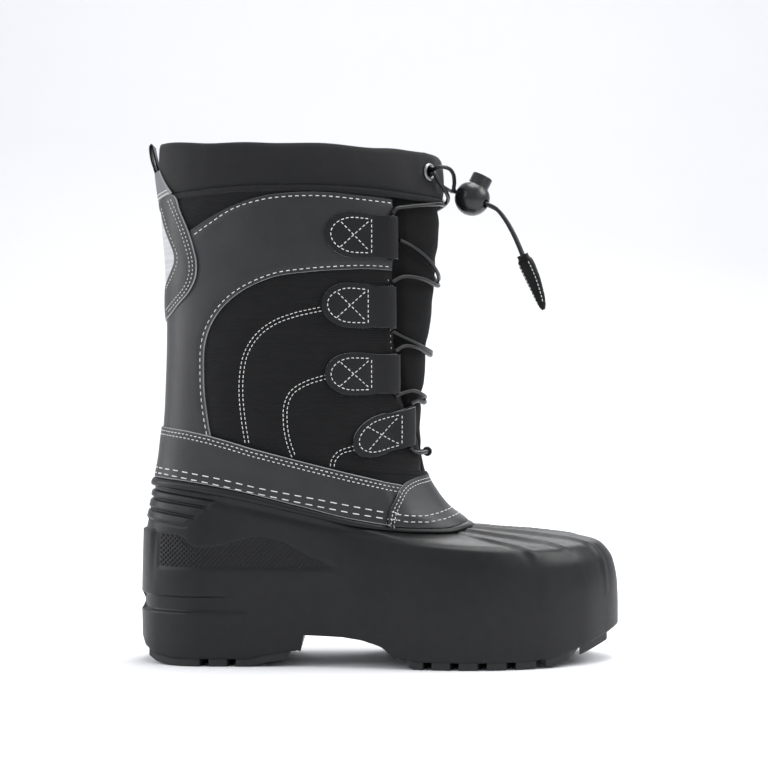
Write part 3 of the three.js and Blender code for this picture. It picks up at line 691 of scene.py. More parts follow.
def make_effects():
    """Node groups for grain, ribbed weave, braid, and uneven wear."""
    vector = ("Vector", "Vector", None)

    nodes, given, result = effect(
        "pebble grain", [vector, ("Cells", "Float", 900.0)], [("Height", "Float"), ("Mask", "Float")]
    )
    cells = nodes.add("TexVoronoi", {"Vector": given["Vector"], "Scale": given["Cells"]},
                      feature="DISTANCE_TO_EDGE").outputs["Distance"]
    ridge = nodes.math("SMOOTH_MIN", nodes.math("MULTIPLY", cells, 2.6), 0.55, 0.25)
    fine = nodes.noise(given["Vector"], 1700.0, 4.0)
    height = nodes.math("ADD", nodes.math("MULTIPLY", ridge, 0.75), nodes.math("MULTIPLY", fine, 0.4))
    nodes.tree.links.new(height, result.inputs["Height"])
    nodes.tree.links.new(nodes.noise(given["Vector"], 55.0, 3.0), result.inputs["Mask"])

    nodes, given, result = effect(
        "rib weave", [vector, ("Ribs", "Float", 900.0), ("Threads", "Float", 700.0)],
        [("Height", "Float"), ("Mask", "Float")],
    )
    axes = nodes.add("SeparateXYZ", {"Vector": given["Vector"]}).outputs
    row = nodes.math("MULTIPLY", axes["Y"], given["Ribs"])
    odd = nodes.math("MULTIPLY", nodes.math("MODULO", nodes.math("FLOOR", row), 2.0), 0.5)
    thread = nodes.math("ADD", nodes.math("MULTIPLY", axes["X"], given["Threads"]), odd)
    rib = nodes.math("SINE", nodes.math("MULTIPLY", nodes.math("FRACT", row), math.pi))
    knot = nodes.math("SINE", nodes.math("MULTIPLY", nodes.math("FRACT", thread), math.pi))
    woven = nodes.math("MULTIPLY", rib, nodes.math("MULTIPLY_ADD", knot, 0.45, 0.55))
    fuzz = nodes.noise(given["Vector"], 2400.0, 2.0)
    nodes.tree.links.new(nodes.math("MULTIPLY_ADD", fuzz, 0.25, woven), result.inputs["Height"])
    streak = nodes.add("Mapping", {"Vector": given["Vector"], "Scale": (18, 420, 1)}).outputs[0]
    nodes.tree.links.new(nodes.noise(streak, 1.0, 4.0), result.inputs["Mask"])

    nodes, given, result = effect(
        "braid", [("Run", "Vector", None), ("Turns", "Float", 3.0)],
        [("Height", "Float"), ("Mask", "Float")],
    )
    axes = nodes.add("SeparateXYZ", {"Vector": given["Run"]}).outputs
    phase = nodes.math("MULTIPLY", axes["X"], given["Turns"])
    sine, cosine = nodes.math("SINE", phase), nodes.math("COSINE", phase)
    left = nodes.math("MULTIPLY", sine, axes["Y"])
    right = nodes.math("MULTIPLY", cosine, axes["Z"])
    cross = nodes.math("MULTIPLY", nodes.math("ADD", left, right), nodes.math("SUBTRACT", left, right))
    nodes.tree.links.new(nodes.math("MULTIPLY_ADD", cross, 0.5, 0.5), result.inputs["Height"])
    nodes.tree.links.new(nodes.noise(given["Run"], 0.6, 2.0), result.inputs["Mask"])

    nodes, given, result = effect(
        "uneven wear",
        [vector, ("Colour", "Color", (0.1, 0.1, 0.1, 1)), ("Worn", "Color", (0.2, 0.2, 0.2, 1)),
         ("Amount", "Float", 0.5), ("Edge", "Float", 0.5), ("Roughness", "Float", 0.5),
         ("Spread", "Float", 0.1)],
        [("Colour", "Color"), ("Roughness", "Float")],
    )
    broad = nodes.noise(given["Vector"], 22.0, 4.0, 0.6)
    small = nodes.noise(given["Vector"], 240.0, 3.0, 0.6)
    cloud = nodes.math("MULTIPLY_ADD", nodes.math("SUBTRACT", broad, 0.5), 1.4, 0.25)
    edge = nodes.add("MapRange", {"Value": given["Edge"], "From Min": 0.515, "From Max": 0.60})
    spots = nodes.math("MULTIPLY", edge.outputs[0], nodes.math("ADD", small, 0.25))
    share = nodes.math("MULTIPLY", nodes.math("ADD", cloud, spots), given["Amount"])
    mix = nodes.add("Mix", {"Factor": share, "A": given["Colour"], "B": given["Worn"]}, data_type="RGBA")
    nodes.tree.links.new(mix.outputs["Result"], result.inputs["Colour"])
    shift = nodes.math("MULTIPLY", nodes.math("SUBTRACT", small, 0.5), given["Spread"])
    wide = nodes.math("MULTIPLY", nodes.math("SUBTRACT", broad, 0.5), given["Spread"])
    level = nodes.math("ADD", given["Roughness"], nodes.math("ADD", shift, wide))
    nodes.tree.links.new(level, result.inputs["Roughness"])


def colour(value, factor=1.0):
    """A lighter or darker version of a colour, opaque."""
    return (*[min(channel * factor, 1.0) for channel in value[:3]], 1.0)


def make_finish(name, base, worn, rough, spread, height, bump, wear=0.35, **fixed):
    """A material: height(nodes, place) gives the relief and a mask of light and dark, bump is the
    relief's depth in millimetres and its strength, and fixed are plain shader values."""
    mat = bpy.data.materials.new(name)
    mat.use_nodes = True
    nodes = Nodes(mat.node_tree)
    shader = mat.node_tree.nodes["Principled BSDF"]
    place = nodes.add("TexCoord").outputs["Object"]
    edge = nodes.add("NewGeometry").outputs["Pointiness"]
    relief, mask = height(nodes, place)
    tone = nodes.use("uneven wear", Vector=place, Colour=colour(base), Worn=colour(worn), Amount=wear,
                     Edge=edge, Roughness=rough, Spread=spread)
    shade = nodes.add("MapRange", {"Value": mask, "From Min": 0.3, "From Max": 0.7,
                                   "To Min": 1 - 0.5 * wear, "To Max": 1 + 0.5 * wear}).outputs[0]
    tint = nodes.add("Mix", {"Factor": 1.0, "A": tone["Colour"], "B": shade},
                     data_type="RGBA", blend_type="MULTIPLY").outputs["Result"]
    normal = nodes.add("Bump", {"Height": relief, "Distance": bump[0] / 1000, "Strength": bump[1]})
    for value, label in ((tint, "Base Color"), (tone["Roughness"], "Roughness"),
                         (normal.outputs["Normal"], "Normal")):
        nodes.tree.links.new(value, shader.inputs[label])
    for label, value in fixed.items():
        shader.inputs[label.replace("_", " ")].default_value = value
    return mat


def grained(cells):
    """Relief of pebbled leather, for make_finish."""
    def height(nodes, place):
        out = nodes.use("pebble grain", Vector=place, Cells=cells)
        return out["Height"], out["Mask"]
    return height


def woven(ribs, threads):
    """Relief of ribbed cloth on the piece's flat coordinates."""
    def height(nodes, _place):
        flat = nodes.add("TexCoord").outputs["UV"]
        out = nodes.use("rib weave", Vector=flat, Ribs=ribs, Threads=threads)
        return out["Height"], out["Mask"]
    return height


def braided(nodes, _place):
    """Relief of the cord's braid."""
    run = nodes.add("Attribute", attribute_name="braid").outputs["Vector"]
    out = nodes.use("braid", Run=run, Turns=2.4)
    return out["Height"], out["Mask"]


def soft(scale):
    """Relief of a fine, even roughness."""
    def height(nodes, place):
        return nodes.noise(place, scale, 6.0, 0.7), nodes.noise(place, scale / 9, 3.0)
    return height


def make_finishes(look):
    make_effects()
    make_finish("moulded rubber", look.rubber, colour(look.rubber, 2.2), 0.4, 0.16, soft(1500.0),
                (0.12, 0.35), wear=0.3, Specular_IOR_Level=0.27)
    make_finish("tread rubber", colour(look.rubber, 0.7), colour(look.rubber, 1.8), 0.6, 0.2,
                soft(900.0), (0.2, 0.5))
    make_finish("panel leather", look.leather, colour(look.leather, 2.4), 0.4, 0.16, grained(1150.0),
                (0.14, 0.6), wear=0.3, Specular_IOR_Level=0.4)
    make_finish("leather edge", colour(look.leather, 22.0), colour(look.leather, 28.0), 0.6, 0.1,
                grained(1500.0), (0.08, 0.5))
    make_finish("loop leather", look.loop_leather, colour(look.leather, 1.8), 0.41, 0.16,
                grained(1000.0), (0.16, 0.6), wear=0.3, Specular_IOR_Level=0.27)
    make_finish("flap leather", colour(look.leather, 8.0), colour(look.leather, 12.0), 0.45, 0.1,
                grained(1000.0), (0.15, 0.5))
    make_finish("ribbed fabric", look.fabric, colour(look.fabric, 3.0), 0.8, 0.1,
                woven(1000 / 0.95, 1000 / 0.8), (0.3, 1.0), wear=0.35, Sheen_Weight=0.06,
                Sheen_Roughness=0.5, Specular_IOR_Level=0.2)
    make_finish("tongue fabric", colour(look.fabric, 0.55), colour(look.fabric, 1.8), 0.8, 0.1,
                woven(1000 / 0.7, 1000 / 0.7), (0.2, 0.8), wear=0.3, Specular_IOR_Level=0.15)
    make_finish("collar fabric", look.fabric, colour(look.fabric, 2.6), 0.72, 0.1,
                woven(1000 / 0.6, 1000 / 0.6), (0.18, 0.7), wear=0.35, Sheen_Weight=0.06,
                Sheen_Roughness=0.45, Specular_IOR_Level=0.3)
    make_finish("fleece lining", look.lining, colour(look.lining, 2.2), 0.95, 0.05, soft(700.0),
                (0.7, 0.9), Sheen_Weight=0.2)
    make_finish("insole felt", colour(look.lining, 1.2), colour(look.lining, 2.4), 0.95, 0.05,
                soft(1100.0), (0.4, 0.8), Sheen_Weight=0.2)
    make_finish("elastic cord", colour(look.cord, 0.25), colour(look.cord, 0.5), 0.36, 0.08, braided,
                (0.14, 0.9), wear=0.2, Specular_IOR_Level=0.4)
    make_finish("thread", look.thread, colour(look.thread, 1.3), 0.6, 0.1, soft(2600.0), (0.1, 0.5),
                Sheen_Weight=0.1)
    make_finish("pale insert", (0.42, 0.42, 0.43), (0.55, 0.55, 0.55), 0.5, 0.1, woven(2400.0, 2400.0),
                (0.05, 0.4))
    make_finish("lock plastic", look.plastic, colour(look.plastic, 2.6), 0.28, 0.12, soft(1900.0),
                (0.06, 0.3), wear=0.3)
    make_finish("eyelet metal", (0.26, 0.26, 0.27), (0.16, 0.16, 0.17), 0.36, 0.2, soft(800.0),
                (0.04, 0.3), Metallic=1.0)
    make_finish("pale floor", (0.86, 0.86, 0.865), (0.86, 0.86, 0.865), 0.7, 0.02, soft(60.0),
                (0.1, 0.02), wear=0.01)


# ---- sole and shell ----
# Grooves between the rows of lugs, the height of the lugs and the slant of their grooves.
LUG = {"deep": 4.5, "slant": 0.3, "from": 44, "gap": 2.5, "centre_gap": 5, "inset": 0.7, "sunk": 0.8}
HEEL_LUGS = [4, 38, 54, 92]
FORE_LUGS = [158, 172, 188, 204, 220, 236, 253, 280]
# Louvre ribs round the back of the shell: the lines between them, as heights at three distances
# from the back, and how far forward each rib ends.
RIB_LINES = columns(
    "x top upper middle lower",
    (0, 103.4, 98, 91.6, 84.8), (24, 100.3, 94.9, 88.2, 81.8), (46, 97, 91.8, 84.9, 79),
)
RIB_ENDS = [42.2, 34.8, 29]
RIB = {"high": 1.4, "groove": 0.5, "top_end": 48}
# Upper edge of the textured panel on each side, (x, z), and the fine bars on it.
HUMP = curve_through([(13, 77.2), (27.4, 76.2), (31, 71.8), (38.4, 70.4), (51.7, 71.8), (68.6, 76.4),
                      (81.2, 75.5), (96, 68.8), (107, 63.7), (118, 59)], each=12)
PANEL = {"deep": 0.5, "low": 55, "back": 13, "front": 117, "diamonds": 37}
BARS = {"low": 58, "tall": 19, "pitch": 2.8, "radius": 0.5}
# Bead on the rim and the flange behind it: distance out, and up from the rim at side and toe.
BEAD = columns(
    "out side toe",
    (0, -3, -3), (0.9, -4.3, -3.1), (1.9, -4.8, -3.0), (2.6, -4, -2.5), (2.8, -2.8, -1.7),
    (2.6, -1.7, -1), (2.1, -0.7, -0.4), (1.2, -0.1, 0), (0, 0, 0), (-5.3, 0, 0), (-5.3, 8, 8),
    (-7.1, 8, 8), (-7.1, -3, -3),
)
RIM_GROOVE = {"down": 8.5, "wide": 2.6, "deep": 0.9}
# Ridges over the toe in plan: x, and the distance from the sole's middle line.
TOE_RIDGES = [
    [(190, 1), (205, 3.5), (222, 7), (242, 12), (262, 17), (276, 20)],
    [(191, 8), (203, 14), (219, 21), (236, 28), (252, 33)],
    [(190, 15), (199, 25), (209, 33.5), (220, 40), (232, 44.5)],
]


def hump_top(x):
    return np.interp(x, HUMP[:, 0], HUMP[:, 1])


def rib_relief(x, z):
    """How far the louvre ribs stand out and the textured panel lies back."""
    lines = [np.interp(x, RIB_LINES["x"], RIB_LINES[name])
             for name in ("top", "upper", "middle", "lower")]
    lift = np.zeros(x.shape)
    for upper, lower, end in zip(lines[:-1], lines[1:], RIB_ENDS):
        above, below = np.maximum(z - lower, 0), np.maximum(upper - z, 0)
        slat = (1 - np.exp(-((above / 0.7) ** 2))) * (1 - np.exp(-((below / 0.9) ** 2)))
        tip = end + (z - lower)
        lift += RIB["high"] * slat * (1 - ease(tip - 1.3, tip, x)) * (1 - 0.3 * above / (above + below))
    for line, end in zip(lines, [RIB["top_end"], *RIB_ENDS]):
        lift -= RIB["groove"] * np.exp(-(((z - line) / 0.8) ** 2)) * (1 - ease(end - 1, end + 1, x))
    panel = ease(0, 1.6, hump_top(x) - z) * ease(PANEL["low"], PANEL["low"] + 4, z)
    ends = (PANEL["back"] - 2, PANEL["back"]), (PANEL["front"] - 2, PANEL["front"] + 1)
    lift -= PANEL["deep"] * panel * ease(*ends[0], x) * (1 - ease(*ends[1], x))
    return lift


def outward(grid):
    """Unit normals of a grid of points, turned away from the boot's middle."""
    normal = unit_rows(np.cross(np.gradient(grid, axis=1), np.gradient(grid, axis=0)))
    middle = np.array([125.0, 0, 20])
    return normal if (normal * (grid - middle)).sum() > 0 else -normal


def shell_inside(z, turn, along=0.01, up=0.6):
    """Point of the shell's inner face, one wall in from its plain outside."""
    def at(level_shift, turn_shift):
        return shell_point(z + level_shift, turn + turn_shift, False)

    normal = unit_rows(np.cross(at(0, along) - at(0, -along), at(up, 0) - at(-up, 0)))
    return at(0, 0) - SHELL_WALL * normal


def floor_of_shell(x):
    """Height of the shell's underside between the lugs."""
    return underside(x) + np.interp(x, (0, 96.3, 97.2, 150, 158, 288), (4.5, 4.5, 0, 0, 4.5, 4.5))


def centre_line(x):
    """Middle of the sole's width."""
    return float(sole_at(end_angle(x / LENGTH), "centre"))


def toe_relief(x, y, z):
    """How far the ridges that fan over the toe stand out, with a valley on each side of them."""
    lift = np.zeros(x.shape)
    crown = (z > 40) & (x > 180)
    for places in TOE_RIDGES:
        for side, _ in SIDES:
            line = curve_through(places, 90) * (1, side)
            gaps = np.stack([np.hypot(x - a, y - centre_line(a) - b) for a, b in line])
            gap, along = gaps.min(axis=0), gaps.argmin(axis=0) / (len(line) - 1)
            fade = np.sin(math.pi * np.clip(along * 0.94 + 0.05, 0, 1)) ** 0.4
            ridge = 1.3 * np.exp(-(gap / 1.7) ** 2) - 0.5 * np.exp(-((gap - 3.6) / 1.5) ** 2)
            lift += ridge * fade * crown
    return lift


def make_shell():
    """The rubber shell as one closed skin: underside, wall, bead, inner wall and footbed."""
    turn = np.linspace(0, 2 * math.pi, 441)
    edge_x = sole_point(turn)[0]
    base = floor_of_shell(edge_x)
    rim = rim_point(turn, 0, -RIM_DROP)
    share = np.linspace(0, 1, 160)[:, None] ** 0.8
    wall = shell_point(base + (rim[:, 2] - base) * share, np.tile(turn, (len(share), 1)))
    x, y, z = np.moveaxis(wall, -1, 0)
    below = (rim[None, :, 2] + RIM_DROP - z - RIM_GROOVE["down"]) / RIM_GROOVE["wide"]
    groove = RIM_GROOVE["deep"] * np.exp(-(below ** 2)) * ease(40, 54, x)
    lift = rib_relief(x, z) - groove + toe_relief(x, y, z)
    wall = wall + outward(wall) * lift[..., None]
    centre_y = sole_at(end_angle(edge_x / LENGTH), "centre")
    start = np.stack([edge_x, centre_y, base], -1)
    bottom = [start + (wall[0] - start) * t for t in np.linspace(0, 1, 9)[:-1]]
    front = toe_share(turn)
    bead = [rim_point(turn, out, side + (toe - side) * front)
            for out, side, toe in zip(*BEAD.values())]
    bed = np.interp(edge_x, FOOTBED["x"], FOOTBED["z"])
    top_inside = rim[:, 2] - 2
    inner = [shell_inside(top_inside + (bed - top_inside) * t, turn) for t in np.linspace(0, 1, 30)]
    foot = np.stack([edge_x, centre_y, bed], -1)
    footbed = [inner[-1] + (foot - inner[-1]) * t for t in np.linspace(0, 1, 8)[1:]]
    shell = loft("rubber_shell", np.stack([*bottom, *wall, *bead[1:], *inner, *footbed]))
    keep(shell, "moulded rubber", "rubber", "sole_shell")


def lug_block(name, low, high, side):
    """One lug between two slanted grooves, from the middle groove out to the sole's edge."""
    bpy.ops.object.select_all(action="DESELECT")
    bpy.ops.mesh.primitive_cube_add(size=1)
    obj = bpy.context.object
    obj.name = obj.data.name = name
    bpy.ops.object.mode_set(mode="EDIT")
    bpy.ops.mesh.select_all(action="SELECT")
    bpy.ops.mesh.subdivide(number_cuts=7)
    bpy.ops.object.mode_set(mode="OBJECT")
    a, b, c = (points_of(obj) + 0.5).T
    y = LUG["centre_gap"] / 2 + LUG["from"] * b
    for _ in range(3):
        shift = (LUG["from"] - y) * LUG["slant"]
        start = low + LUG["gap"] + (shift if low != HEEL_LUGS[0] else 0)
        end = high - LUG["gap"] + (shift if high not in (HEEL_LUGS[-1], FORE_LUGS[-1]) else 0)
        x = start + (end - start) * a
        at = end_angle(x / LENGTH)
        centre, half = sole_at(at, "centre"), sole_at(at, "half")
        edge = half + side * centre - LUG["inset"]
        y = LUG["centre_gap"] / 2 + (edge - LUG["centre_gap"] / 2) * b
    z = underside(x) + (LUG["deep"] + LUG["sunk"]) * c
    set_points(obj, metres(np.stack([x, side * y, z], -1)))
    tidy(obj)
    return bevel(obj, 0.8, corner=50)


def make_lugs():
    lugs = []
    for rows in (HEEL_LUGS, FORE_LUGS):
        for low, high in zip(rows[:-1], rows[1:]):
            for side, _ in SIDES:
                lugs.append(lug_block(f"lug_{low}_{side}", low, high, side))
    obj = join("outsole_lugs", lugs)
    smooth_by_angle(obj, 40)
    keep(obj, "tread rubber", "rubber")


def make_texture_bars():
    """Fine raised bars on both sides of the heel: a slanted hatch and a diamond panel."""
    shell = bpy.data.objects["rubber_shell"]
    tree = BVHTree.FromObject(shell, bpy.context.evaluated_depsgraph_get())
    lines = []

    def drape(places, side):
        line = []
        for x, z in places:
            start = metres((x, side * 90, z))
            hit, normal, _, _ = tree.ray_cast(Vector(start), Vector((0, -side, 0)))
            if hit is None:
                return
            line.append(np.array(hit + normal * 0.00012) * 1000 - SHIFT)
        lines.append(np.array(line))

    for side, _ in SIDES:
        for slope, end in ((1, PANEL["front"]), (-1, PANEL["diamonds"])):
            for start in np.arange(-8, PANEL["front"] + 1, BARS["pitch"]):
                foot = start + (slope < 0) * 18
                places = [(foot + slope * t, BARS["low"] + t) for t in np.linspace(0, BARS["tall"], 20)]
                places = [(x, z) for x, z in places if PANEL["back"] < x < end and z < hump_top(x) - 1]
                if len(places) > 1:
                    drape(places, side)
    bars = tubes("heel_texture_bars", lines, BARS["radius"], sides=6)
    keep(bars, "moulded rubber", "rubber")


def make_insole():
    turn = np.linspace(0, 2 * math.pi, 181)
    x, y = sole_point(turn, -(SHELL_WALL + 1.5))
    at = end_angle(x / LENGTH)
    centre = np.stack([x, sole_at(at, "centre"), 0 * x], -1)
    edge = np.stack([x, y, 0 * x], -1)
    bed = np.interp(x, FOOTBED["x"], FOOTBED["z"]) + GAP
    rows = [(0, 0.0), (0.5, 0.0), (0.95, 0.0), (0.99, 0.6), (1, 2.2), (0.995, 3.8), (0.975, 4.7),
            (0.9, 5), (0.7, 4.6), (0.4, 4.2), (0, 4)]
    grid = np.stack([centre + (edge - centre) * share + np.stack([0 * x, 0 * x, bed + up], -1)
                     for share, up in rows])
    keep(loft("insole_felt", grid), "insole felt", "insole_felt", "insole")


# ---- fabric upper, collar and tongue ----
def spread_of(turn, z):
    """Flat coordinates of the cloth: the run round the boot and the height."""
    turns = np.linspace(-math.pi, math.pi, 721)
    around = np.interp(turn, turns, lengths(form_point(200.0, turns)))
    return np.stack([around, np.broadcast_to(z, around.shape)], -1)


def throat_turn(z):
    """Turn at which the upper ends at the throat; below the throat it closes at the front."""
    return np.where(z < 111.5, math.pi - 0.02, turn_at(np.interp(z, THROAT["z"], THROAT["x"]), z))


def rand_top(x):
    """Height of the rand's upper edge."""
    return np.interp(x, RAND_TOP["x"], RAND_TOP["z"])


def inside(outline, x, z):
    """Which places in the side view lie inside a closed outline."""
    within = np.zeros(np.shape(x), bool)
    for (ax, az), (bx, bz) in zip(outline, np.roll(outline, -1, axis=0)):
        if az != bz:
            within ^= ((az > z) != (bz > z)) & (x < (bx - ax) * (z - az) / (bz - az) + ax)
    return within


def under_leather(x, z):
    """1 where the cloth is covered by a leather panel and 0 on the open cloth."""
    panel = np.array([*ARC_1[::-1], (149, 250), *BAND_TOP[::-1], (-9, 230), (-9, 130), (40, 130)])
    near_top = (z > 273) & (x < 26)
    return np.where(inside(panel, x, z) | (z < rand_top(x)) | near_top, 1.0, 0.0)


def make_upper():
    """The padded cloth of the shaft, swelling between its sewn lines, with its fleece lining."""
    share, across = np.meshgrid(np.linspace(0, 1, 131), np.linspace(-1, 1, 331), indexing="ij")
    low = rim_point(np.linspace(-math.pi, math.pi, 331), 0, GAP)[:, 2]
    z = low + (279.0 - low) * share
    for _ in range(2):
        turn = across * throat_turn(z)
        top = seam_at(form_point(z, turn)[..., 0], "z")
        bottom = rim_at(form_point(90.0, turn)[..., 0], "z") + GAP
        z = bottom + (top - bottom) * share
    x = form_point(z, turn)[..., 0]
    pad = bpy.context.scene.snow_boot_sizes.quilt * 1000
    gap = distance_to(QUILT_LINES, x, z)
    gap = np.minimum(gap, np.abs(z - rand_top(x)))
    gap = np.minimum(gap, np.abs(top - z) * 1.2)
    edge = (1 - np.abs(across)) * throat_turn(z) * TURN_SCALE
    lift = pad * (1 - np.exp(-((gap / 5.5) ** 1.3)))
    crumple = 0.22 * np.sin(x * 0.31 + np.sin(z * 0.13) * 2) * np.sin(z * 0.21 + np.sin(x * 0.09) * 2.4)
    lift = lift * (1 + crumple) * ease(0, 4, edge) * (1 - under_leather(x, z))
    grid = form_point(z, turn, lift)
    upper = loft("upper_fabric", grid, spread_of(turn, z), closed=False)
    thicken(upper, UPPER_WALL, edge=0.9, inner_slot=1)
    keep(upper, ("ribbed fabric", "fleece lining"), "woven_fabric", "upper")


# Section of the collar: distance out, and share of its height.
COLLAR_SECTION = [
    (0.3, 0.0), (1.6, 0.05), (2.1, 0.2), (2.2, 0.45), (2.0, 0.75), (1.7, 0.92), (1.0, 0.99),
    (-0.6, 1.0), (-3.2, 0.99), (-5.0, 0.95), (-6.2, 0.84), (-6.5, 0.6), (-6.4, 0.3), (-6.0, 0.1),
    (-5.2, 0.0), (-2.5, -0.02), (0.3, 0.0),
]
# How far the cloth stands above or below the sleeve's plain top, from back to front.
COLLAR_PUFF = columns(
    "x up", (0, -3.5), (3, -1.5), (10, 1), (18, 1.5), (40, 1), (80, 0), (140, 0), (158, 1),
    (169, 2.4), (179, 1.4), (187, 0),
)


def make_collar():
    """The drawcord sleeve: a closed ring of cloth, gathered at the front and flat at the eyelets."""
    stretch = np.array([3, 28])
    ring = curve_through(np.array(COLLAR_SECTION) * stretch, 61)
    turn = np.linspace(0, 2 * math.pi, 421)
    x = form_point(295.0, turn)[:, 0]
    low, top = seam_at(x, "z") + GAP, top_at(x, "z")
    front = np.exp(-(((turn - math.pi) / 0.75) ** 2))
    wave = np.sin(turn * 23 + 1.5 * np.sin(turn * 7)) * (0.1 + 0.4 * front)
    wave += np.sin(turn * 9 + 0.8) * 0.2
    ring_turn = turn_at(EYELET["x"], EYELET["z"])
    near = sum(np.exp(-(((turn - place) / 0.11) ** 2))
               for place in (ring_turn, 2 * math.pi - ring_turn))
    back = np.exp(-((turn / 0.4) ** 2)) + np.exp(-(((turn - 2 * math.pi) / 0.4) ** 2))
    wave = wave * (1 - 0.9 * near - 0.6 * back) - 0.45 * near
    top = top + np.interp(x, COLLAR_PUFF["x"], COLLAR_PUFF["up"])
    grid = []
    for out, up in ring / stretch:
        face = math.sin(math.pi * min(max(up, 0), 1)) if out > -3 else 0.25
        z = low + (top - low) * up + 0.35 * np.sin(turn * 11 + 1.1) * max(up, 0) ** 2
        grid.append(form_point(z, turn, out + wave * face))
    grid = np.stack(grid)
    flat = spread_of(np.broadcast_to(turn - math.pi, grid.shape[:2]), np.zeros(grid.shape[:2]))
    flat[..., 1] = lengths(ring)[:, None]
    keep(loft("collar_fabric", grid, flat), "collar fabric", "woven_fabric", "collar")


TONGUE = {"low": 110.8, "top": 276.5, "thick": 5.2}
# Folds across the tongue: height and depth.
TONGUE_FOLDS = ((268, 1.2), (240, 0.9), (227, 1.2), (189, 1.2), (184, 0.8), (157, 1.3), (124, 0.9))


def make_tongue():
    share, across = np.meshgrid(np.linspace(0, 1, 121), np.linspace(-1, 1, 81), indexing="ij")
    z = TONGUE["low"] + (TONGUE["top"] - TONGUE["low"]) * share
    half = math.pi - turn_at(np.interp(z, THROAT["z"], THROAT["x"]) + 0.5, z)
    half = np.where(z < 113.5, half * 0.9, half)
    turn = math.pi + across * half
    x = form_point(z, turn)[..., 0]
    z = np.minimum(z, seam_at(x, "z") - 0.4)
    sag = -0.7 - 2.4 * ease(0.8, 1, np.abs(across))
    for height, deep in TONGUE_FOLDS:
        sag -= 0.8 * deep * np.exp(-(((z - height - 3 * np.sin(turn * 2)) / 4.6) ** 2))
    sag += 0.35 * np.sin(z * 0.27 + 2 * np.sin(turn * 3)) * np.sin(across * 5 + z * 0.05)
    sag = np.minimum(sag, -0.5)
    tongue = loft("tongue_fabric", form_point(z, turn, sag), spread_of(turn - math.pi, z), closed=False)
    face_away(tongue, centre=(60, 0))
    thicken(tongue, TONGUE["thick"], edge=0.9, inner_slot=1)
    keep(tongue, ("tongue fabric", "fleece lining"), "woven_fabric", "tongue")


# ---- leather ----
def ruled(edge_a, edge_b, rows, count, side):
    """(turn, z) of a strip between two edges given row by row in the side view."""
    def line(edge):
        edge = np.asarray(edge, float)
        flat = np.stack([TURN_SCALE * turn_at(edge[:, 0], edge[:, 1]), edge[:, 1]], -1)
        return curve_through(flat, each=max(count // (len(edge) - 1), 4))

    a, b = line(edge_a), line(edge_b)
    t = np.linspace(0, 1, rows)[:, None, None]
    strip = a[None] * (1 - t) + b[None] * t
    return -side * np.maximum(strip[..., 0], 0) / TURN_SCALE, strip[..., 1]


def cut_leather(sheet, thick, edge=0.45, finish="panel leather"):
    """A leather sheet with its thickness and a paler cut edge."""
    for name in (finish, "leather edge"):
        sheet.data.materials.append(bpy.data.materials[name])
    thicken(sheet, thick, edge, edge_slot=1)
    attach(sheet, "boot")
    return sheet


def leather_sheet(name, turn, z, out, thick=1.3, edge=0.45):
    return cut_leather(loft(name, form_point(z, turn, out), closed=False), thick, edge)


# Edges of the quarter leather, in matching places: round the padded cloth, and above and behind.
QUARTER_INNER = [
    (149.1, 230.6), (135.2, 231.1), (117.7, 230.4), (100.4, 229), (83, 226.6), (67.2, 220.6),
    (56.9, 213.9), (48.8, 205.6), (43.4, 196.2), (40.6, 185.9), (40.1, 172), (40.6, 157.8),
    (42.4, 143.6), (44.5, 131),
]
QUARTER_OUTER = [
    (149.1, 271.2), (133, 272.8), (115, 274.4), (96, 274.5), (76, 272.6), (58, 267.3),
    (44.8, 261), (31.5, 253), (20, 244), (0, 222), (0, 195), (0, 168), (0, 147), (0, 131),
]


def make_quarters():
    """The leather that rises round the padded cloth on both sides."""
    for side, label in SIDES:
        turn, z = ruled(QUARTER_INNER, QUARTER_OUTER, 46, 200, side)
        x = form_point(z, turn)[..., 0]
        lines = [curve_through(ARC_1, each=3), curve_through(BAND_TOP, each=3)]
        dip = 0.35 * np.exp(-((distance_to(lines, x, z) / 1.3) ** 2))
        puff = 0.35 * np.sin(x * 0.07 + z * 0.035) * ease(2, 16, distance_to(lines, x, z))
        leather_sheet(f"quarter_leather_{label}", turn, z, 1.55 - dip + puff)


def make_rand():
    """The leather band along the shell's rim, round the back of the boot."""
    share, across = np.meshgrid(np.linspace(0, 1, 31), np.linspace(-1, 1, 361), indexing="ij")
    turn = across * 2.56
    low = rim_point(turn[0], 0, GAP)[:, 2]
    high = np.full(361, 120.0)
    for _ in range(10):
        high = rand_top(form_point(high, turn[0])[:, 0])
    z = low + (high - low) * share
    out = 1.7 + 0.75 * ease(0.3, 0.9, share) + 0.25 * np.sin(math.pi * share)
    out = out - 1.1 * ease(2.24, 2.34, np.abs(turn))
    leather_sheet("rand_leather", turn, z, out, thick=1.5)


def make_saddle():
    """The leather over the instep, from its seam on one side round the front to the other."""
    lower = [(146.4, 81.6), (149, 81.3), (155, 80.8), (166, 80), (184, 80.1), (210, 83)]
    upper = [(146.4, 83.2), (146.7, 88.1), (150.4, 96.8), (154.9, 104.7), (162.1, 108.8),
             (175, 111.2)]
    halves = [ruled(lower, upper, 31, 120, side) for side in (-1, 1)]
    turn = np.concatenate([halves[0][0], 2 * math.pi + halves[1][0][:, ::-1][:, 1:]], axis=1)
    z = np.concatenate([halves[0][1], halves[1][1][:, ::-1][:, 1:]], axis=1)
    rim = rim_point(turn[0], 0, GAP)[:, 2]
    share = np.linspace(0, 1, 31)[:, None]
    z = z + (rim - z[0])[None] * (1 - share)
    nose = ease(0.84, 0.95, part_of(turn))
    out = 1.9 + (1.5 - 2.2 * nose) * ease(0, 0.35, share) + 0.3 * np.sin(math.pi * share)
    out = out + 0.6 * ease(0.94, 0.8, part_of(turn)) * (1 - share)
    leather_sheet("saddle_leather", turn, z, out, thick=1.6)


